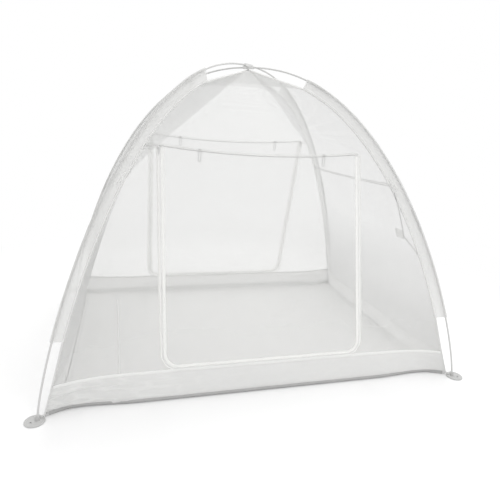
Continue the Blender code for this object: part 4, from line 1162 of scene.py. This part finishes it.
def make_short_side(name, ripple_seed, band_seed):
    """A side in one piece, with a seam tape where roof and wall meet."""
    def seam(_):
        return SHORT_SEAM_HEIGHT

    spot = rippled(name, seam, ripple_seed, 0.2)

    def net_spot(column, row):
        height = between(BAND_TOP + SEAM_GAP, PEAK_HEIGHT, row / SHORT_ROWS)
        return spot((2 * column / SHORT_COLUMNS - 1) * short_half(height), height)

    points, faces, uvs = grid(net_spot, SHORT_COLUMNS, SHORT_ROWS, short_uv)
    net = add_piece(f"net_{name}", points, faces, side_nets[name], "white_net", uvs,
                    replaced=(f"roof_{name}", f"wall_{name}"))
    sewn_on = seam_tape(name, seam, 1.0, 1.0, SHORT_SEAM_SKIP, (0.0, 1.0))
    declare_sheet(net, "hung", SLEEVES, SHORT_NET_FLAT, sewn_on + wall_trim(name))
    make_band(name, band_seed, lambda across: SHORT_SIDE_SLACK, SHORT_BAND_FLAT)


make_long_side("front", 3.0, 2.0)
make_long_side("back", 8.0, 6.0)
make_short_side("right", 15.0, 11.0)
make_short_side("left", 13.0, 9.0)


def make_floor_sheet():
    """The sewn-in floor: rings that shrink from the foot of the bands to the middle.

    Its edge turns up inside the bands, where it is sewn to them."""
    def edge_ring(height, gap):
        ring = []
        for surface, half, outward in WALLS.values():
            for share in spread(-1, 1, FLOOR_SIDE)[:-1]:
                point = surface(share * half(height), height)
                inset = tuck(point, outward) + gap * fade(1 - abs(share), FLOOR_END_FADE)
                ring.append(point - outward * inset)
        return ring

    points = [point for height, gap in FLOOR_TURN_UP for point in edge_ring(height, gap)]
    ring = edge_ring(FLOOR_TOP, FLOOR_GAP)
    level = FLOOR_TOP - FLOOR_SINK
    for step in range(FLOOR_RINGS):
        for spot in ring:
            x, y = (c * (1 - step / FLOOR_RINGS) for c in spot.xy)
            ripple = sum(noise.noise(Vector((x * scale, y * scale, seed))) * strength
                         for scale, seed, strength in FLOOR_RIPPLES)
            calm = min(1, step / FLOOR_CALM)
            points.append(Vector((x, y, level + calm * FLOOR_RIPPLE * (1 + ripple))))
    wide, middle = len(ring), len(points)
    faces = quads(middle // wide, wide, wrap=True)
    faces += [(middle - wide + i, middle - wide + (i + 1) % wide, middle) for i in range(wide)]
    points.append(Vector((0, 0, level + FLOOR_RIPPLE)))
    piece = add_piece("floor_cloth", points, faces, floor_cloth, "white_cloth", [flat_uv(p) for p in points],
                      replaced=("floor_sheet",))
    declare_sheet(piece, "laid", ["studio_floor"], FLOOR_FLAT)


def make_peak_patch():
    """A second layer of closer net inside the roof's peak, down to the sleeves' upper ends."""
    low_level = net_corner(SLEEVE_END)[1] + PATCH_OVERLAP
    columns, rows = PATCH_GRID

    def spot(name, column, row):
        surface, half, _ = WALLS[name]
        share = 2 * column / columns - 1
        height = between(low_level + PATCH_SAG * (1 - share ** 2), PEAK_HEIGHT - PATCH_PEAK, row / rows)
        return surface(share * (half(height) - PATCH_INSET), height) - UP * PATCH_DROP

    sides = ("front", "back", "right", "left")
    points, faces, uvs = joined([grid(partial(spot, name), columns, rows, flat_uv) for name in sides])
    piece = add_piece("peak_patch", points, faces, patch_cloth, "white_net", uvs)
    declare_sheet(piece, "hung", ["net_front", "net_back"], PATCH_FLAT)


make_floor_sheet()
make_peak_patch()


# ---------- Sleeves, bindings, ties and straps ----------

def upright(corner, point, side=0.0):
    """A point in a corner's upright plane, from reach and height, moved sideways."""
    direction = CORNERS[corner]
    return direction * point[0] + UP * point[1] + UP.cross(direction) * side


def ribbon(corner, line, half_width, half_thick, bend=0.0):
    """A ribbon that lies in a corner's upright plane, along a line of reach and height."""
    points, uvs, far = [], [], 0.0
    section = ((-1, -0.6), (-0.94, -1), (0, -1.0 - bend), (0.94, -1), (1, -0.6),
               (1, 0.6), (0.94, 1), (0, 1.0 + bend), (-0.94, 1), (-1, 0.6))
    widths = half_width if isinstance(half_width, list) else [half_width] * len(line)
    for i, (spot, width) in enumerate(zip(line, widths)):
        normal = left_of(line[max(i - 1, 0)], line[min(i + 1, len(line) - 1)])
        far += math.dist(line[i - 1], spot) if i else 0.0
        for across, thick in section:
            points.append(upright(corner, along(spot, normal, across * width), thick * half_thick))
            uvs.append((across * width, far))
    return points, pipe_faces(len(line), len(section)), uvs


def add_ribbons(kind, corner, ribbons, surface, **options):
    """One piece of flat ribbons, with crisp edges."""
    points, faces, uvs = merge(*ribbons)
    return add_piece(f"{kind}_{corner}", points, faces, surface, "white_tape", uvs, sharp=RIBBON_SHARP,
                     **options)


def line_between(first, second, count):
    return [tuple(between(a, b, step / count) for a, b in zip(first, second)) for step in range(count + 1)]


SLEEVE_PUCKER, PUCKER_ALONG, PUCKER_ROUND = 0.0006, 2.3, 0.35
SLEEVE_STEPS, SLEEVE_END_FLARE, BINDING_SHARE = 150, 0.0004, 0.96
WELT_HALF, WELT_THICK, WELT_INSET, WELT_STEPS = 0.0040, 1.55, 0.1, 110
# Where the sleeve lies flat: shares of its depth, and distance out in layers
FLAT_PART = ((1, 1), (0.84, 1), (0.66, 1.15), (0.5, 1.6), (0.36, 2.6))
ROUND_PART = [math.radians(d) for d in range(40, 321, 20)]


def sleeve_piece(corner, sewn_on):
    """A rod sleeve: one strip folded round the rod and sewn into the corner seam."""
    rod = CORNER_ROD[corner]
    mid_radius = SLEEVE_BORE + SLEEVE_CLOTH / 2
    layer = (SLEEVE_LAYER_GAP + SLEEVE_CLOTH) / 2
    places = spread(SLEEVE_START, SLEEVE_END, SLEEVE_STEPS)
    columns = 2 * len(FLAT_PART) + len(ROUND_PART) - 1
    seed = 3.0 + 7 * list(CORNERS).index(corner)

    def place(column, row):
        centre = Vector(rod_point(places[row], RODS[rod][1]))
        seam = Vector(net_corner(places[row])) - centre
        pucker = 0.0
        if 0 < column < columns:
            spot = Vector((places[row] * PUCKER_ALONG, column * PUCKER_ROUND, seed))
            pucker = noise.noise(spot) * SLEEVE_PUCKER
        flat, turn = min(column, columns - column), column - len(FLAT_PART)
        if flat < len(FLAT_PART):
            depth, out = FLAT_PART[flat]
            down = (seam.length + SLEEVE_TUCK) * depth
            side = (layer * out + pucker) * (1 if column == flat else -1)
        else:
            radius = mid_radius + pucker + (SLEEVE_END_FLARE if min(row, SLEEVE_STEPS - row) < 3 else 0)
            down, side = radius * math.cos(ROUND_PART[turn]), radius * math.sin(ROUND_PART[turn])
        return upright(corner, centre + seam.normalized() * down, side)

    points = grid(place, columns, SLEEVE_STEPS)[0]
    piece = add_strip(f"sleeve_cloth_{corner}", points, columns + 1, sleeve_cloth, "white_cloth",
                      replaced=(f"sleeve_{corner}",))
    low_place = SLEEVE_END - BINDING_OVERLAP / STATION_LENGTH
    clip_end = (CLIP_FLANGE_RADIUS + SEAM_GAP, PEAK_HEIGHT - BINDING / 4)
    line = [net_corner(p) for p in spread(low_place, SLEEVE_END, 4)]
    line += line_between(net_corner(SLEEVE_END), clip_end, 12)[1:]
    seam_run = [along(net_corner(p), inward(p), SLEEVE_TUCK * WELT_INSET)
                for p in spread(SLEEVE_START, low_place, WELT_STEPS)]
    binding = ribbon(corner, line, BINDING / 2 * BINDING_SHARE, SLEEVE_HALF * BINDING_SHARE, 0.15)
    welt = ribbon(corner, seam_run, WELT_HALF, SLEEVE_HALF * WELT_THICK, 0.1)
    declare_sheet(piece, "folded", [f"net_{corner.split('_')[0]}"], SLEEVE_FLAT[rod],
                  [add_ribbons("peak_binding", corner, [binding], tape_cloth),
                   add_ribbons("corner_welt", corner, [welt], tape_cloth), *sewn_on])


# Outward and downward places of a tie's knot and its tails
KNOT = ((0.002, 0), (0.006, 0.001), (0.011, 0), (0.016, -0.001), (0.020, 0))
KNOT_HALF = [0.0034, 0.0072, 0.0084, 0.0072, 0.0034]
TAILS = (((0.012, 0.002), (0.005, 0.016), (0.003, 0.030), (0.006, 0.044)),
         ((0.009, 0.002), (0.015, 0.012), (0.019, 0.024), (0.018, 0.034)),
         ((0.009, -0.002), (0.012, -0.014), (0.011, -0.024), (0.013, -0.030)))
TAIL_HALF, TIE_THICK, KNOT_THICK = [0.0034, 0.0036, 0.0036, 0.0034], SLEEVE_HALF + 0.0016, 0.0010


def tie_piece(corner):
    """A ribbon knotted round the sleeve at the end of a short wall's seam."""
    place = place_where(lambda spot: net_corner(spot)[1], SLEEVE_START, SLEEVE_END, SHORT_SEAM_HEIGHT)
    inner = inward(place)
    down = (-inner[1], inner[0])

    def run(steps):
        return [along(along(net_corner(place), inner, -out), down, drop) for out, drop in steps]

    ribbons = [ribbon(corner, run(KNOT), KNOT_HALF, TIE_THICK + KNOT_THICK, 0.6)]
    ribbons += [ribbon(corner, run(tail), TAIL_HALF, TIE_THICK, 0.4) for tail in TAILS]
    return add_ribbons("side_tie", corner, ribbons, tape_cloth)


STRAP_EASE, STRAP_SHARE = (0.0015, 0.003), 0.98


def strap_piece(corner):
    """Webbing from the sleeve's end down the net's corner and into the foot's slot."""
    inner = inward(SLEEVE_START)
    top = along(net_corner(SLEEVE_START), (-inner[1], inner[0]), SEAM_GAP)
    half, tail_half = STRAP_WIDTH / 2, SLOT_LENGTH / 2 - SLOT_CLEARANCE
    tail = HALF_DIAGONAL - SLOT_OFFSET
    bend = FOOT_PLATE + FOOT_RIM + SLOT_CLEARANCE
    hem, foot = ((corner_reach(z), z) for z in (CORNER_BEND, STRAP_TURN))
    line = line_between(top, hem, 10) + line_between(hem, foot, 10)[1:]
    line += [(tail - STRAP_EASE[0], bend + STRAP_EASE[1]), (tail, bend), (tail, STRAP_END)]
    widths = [half] * (len(line) - 3) + [(half + tail_half) / 2, tail_half, tail_half]
    webbing = ribbon(corner, line, widths, SLEEVE_HALF * STRAP_SHARE)
    return add_ribbons("strap_webbing", corner, [webbing], strap_cloth, replaced=(f"strap_{corner}",))


GUSSET_LOW, GUSSET_HIGH, GUSSET_TIP, GUSSET_SAG = 0.006, 0.05, (0.003, 0.004), 0.004
GUSSET_SHARE, GUSSET_TAPER = 0.8, 0.4


def gusset_piece(corner):
    """A three-cornered cloth tab from the band's lower corner out to the foot's strap."""
    low, high = (corner_reach(BAND_BOTTOM), GUSSET_LOW), (corner_reach(GUSSET_HIGH), GUSSET_HIGH)
    tip = (HALF_DIAGONAL - SLOT_OFFSET - GUSSET_TIP[0], FOOT_PLATE + FOOT_RIM + GUSSET_TIP[1])
    rows, columns, half, points = 8, 4, SLEEVE_HALF * GUSSET_SHARE, []
    for share in spread(0, 1, rows):
        face = []
        for v in spread(0, 1, columns):
            reach, height = (between(between(a, b, v), c, share) for a, b, c in zip(low, high, tip))
            face.append((reach, height - GUSSET_SAG * math.sin(math.pi * share) * v))
        side = half * (1 - GUSSET_TAPER * share)
        points += [upright(corner, spot, side) for spot in face]
        points += [upright(corner, spot, -side) for spot in face[::-1]]
    return add_piece(f"corner_tab_{corner}", points, pipe_faces(rows + 1, 2 * columns + 2), strap_cloth,
                     "white_tape", [(p.x + p.y, p.z) for p in points])


for corner_name in CORNERS:
    sleeve_piece(corner_name, [gusset_piece(corner_name), tie_piece(corner_name), strap_piece(corner_name)])


# ---------- Loops, shock cords and rods ----------

def loop_piece(side, hand):
    """An elastic loop that hangs inside a door's seam, with its stitched tab."""
    node = f"door_loop_{side}_{hand}"
    low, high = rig.box(node)
    middle = (low + high) / 2
    half = (LOOP_WIDTH - LOOP_CORD) / 2
    top = high.z - LOOP_CORD / 2 - half
    line = []
    for end, drop in ((0, 0.0), (1, LOOP_LENGTH - LOOP_CORD - 2 * half)):
        for angle in spread(math.pi * end, math.pi * (end + 1), LOOP_STEPS):
            line.append((middle.x + half * math.cos(angle), middle.y, top + half * math.sin(angle) - drop))
    curve = bpy.data.curves.new(f"elastic_loop_{side}_{hand}", "CURVE")
    curve.dimensions = "3D"
    curve.bevel_depth = LOOP_CORD / 2
    curve.bevel_resolution = 4
    spline = curve.splines.new("POLY")
    spline.points.add(len(line) - 1)
    for knot, point in zip(spline.points, line):
        knot.co = (*point, 1)
    spline.use_cyclic_u = True
    curve.materials.append(loop_cloth)
    ride_on(new_object(curve.name, curve), node, (node,), "elastic")
    reach, face = half + TAB_SIDE, LOOP_CORD / 2 + TAB_FACE
    points = [Vector((middle.x + x * reach, middle.y + y * face, high.z + TAB_RISE - drop))
              for drop in spread(0, TAB_LENGTH, 4) for x, y in ((-1, -1), (1, -1), (1, 1), (-1, 1))]
    add_piece(f"loop_tab_{side}_{hand}", points, pipe_faces(5, 4), roll_cloth, "white_tape",
              [(p.x, p.z) for p in points], body=node, sharp=RIBBON_SHARP)


for side_name in SIDES:
    for hand_name in ("left", "right"):
        loop_piece(side_name, hand_name)


def swept(rod, profile):
    """A turned profile of places and radii swept along a rod; quarters of a station get rings."""
    corner, height = RODS[rod]
    full, points = [profile[0]], []
    for (a_place, a_radius), (b_place, b_radius) in zip(profile, profile[1:]):
        low, high = sorted((a_place, b_place))
        inner = [q / 4 for q in range(int(low * 4) + 1, math.ceil(high * 4)) if low < q / 4 < high]
        for place in inner if b_place >= a_place else inner[::-1]:
            full.append((place, between(a_radius, b_radius, (place - a_place) / (b_place - a_place))))
        full.append((b_place, b_radius))
    for place, radius in full:
        inside = min(max(place, 0.0), 2 * STATIONS)
        low, high = (Vector(rod_point(min(max(inside + step, 0), 2 * STATIONS), height))
                     for step in (-ROD_AHEAD, ROD_AHEAD))
        flow = (high - low).normalized()
        centre = Vector(rod_point(inside, height)) + flow * ((place - inside) * STATION_LENGTH)
        for step in range(ROD_SIDES):
            angle = 2 * math.pi * step / ROD_SIDES
            rise = radius * math.cos(angle)
            spot = (centre.x - flow.y * rise, centre.y + flow.x * rise)
            points.append(upright(corner, spot, radius * math.sin(angle)))
    return points, pipe_faces(len(full), ROD_SIDES)


def rod_pieces(rod):
    gap, half, bevel, inside, floor = (length / STATION_LENGTH for length in (
        SECTION_GAP / 2, FERRULE / 2, ROD_BEVEL, TIP_LENGTH - TIP_FLOOR, TIP_FLOOR))
    span = 2 * STATIONS // SECTIONS
    radius, bore = ROD_DIAMETER / 2, ROD_DIAMETER / 2 - ROD_WALL
    socket, outer = radius + FERRULE_CLEARANCE, radius + FERRULE_CLEARANCE + FERRULE_WALL
    tip = radius + TIP_CLEARANCE + TIP_WALL
    cap = [(-floor, tip - TIP_NOSE), (bevel - floor, tip), (inside - bevel, tip), (inside, tip - ROD_BEVEL),
           (inside, radius)]
    for number in range(SECTIONS):
        begin, joint = number * span, (number + 1) * span
        profile = cap if number == 0 else [
            (begin + gap, bore), (begin + gap, radius - ROD_BEVEL), (begin + gap + bevel, radius)]
        profile = profile + ([(joint - place, out) for place, out in reversed(cap)]
                             if number == SECTIONS - 1 else [
            (joint - half, radius), (joint - half, outer - FERRULE_BEVEL), (joint - half + bevel, outer),
            (joint + half - bevel, outer), (joint + half, outer - FERRULE_BEVEL), (joint + half, socket),
            (joint - gap, socket), (joint - gap, bore)])
        add_piece(f"rod_{rod}_length_{number + 1}", *swept(rod, profile), rod_fibre, "grey_rod",
                  replaced=(f"rod_{rod}_section_{number + 1}",), sharp=ROD_SHARP)
    corner, height = RODS[rod]
    line = [upright(corner, rod_point(place, height))
            for place in spread(CORD_END, 2 * STATIONS - CORD_END, CORD_STEPS)]
    cord = tube(line, SHOCK_CORD / 2, CORD_SIDES, UP.cross(CORNERS[corner]))
    add_piece(f"elastic_cord_{rod}", *cord, cord_cloth, "elastic", replaced=(f"shock_cord_{rod}",))


for rod_name in RODS:
    rod_pieces(rod_name)


# ---------- CAD pieces that stay, with their finish ----------

FINISHES = {"foot_": foot_plastic, "apex_clip": clip_plastic, "slider_": slider_zinc, "pull_": slider_zinc}
for node_name, node_item in frame["nodes"].items():
    for prefix, finish in FINISHES.items():
        if node_name.startswith(prefix):
            node_item.data.materials.clear()
            node_item.data.materials.append(finish)

json.dump({"cad": [list(c) for c in cad_box], "scene": [list(c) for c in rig.bounds()]},
          open("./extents.json", "w"))
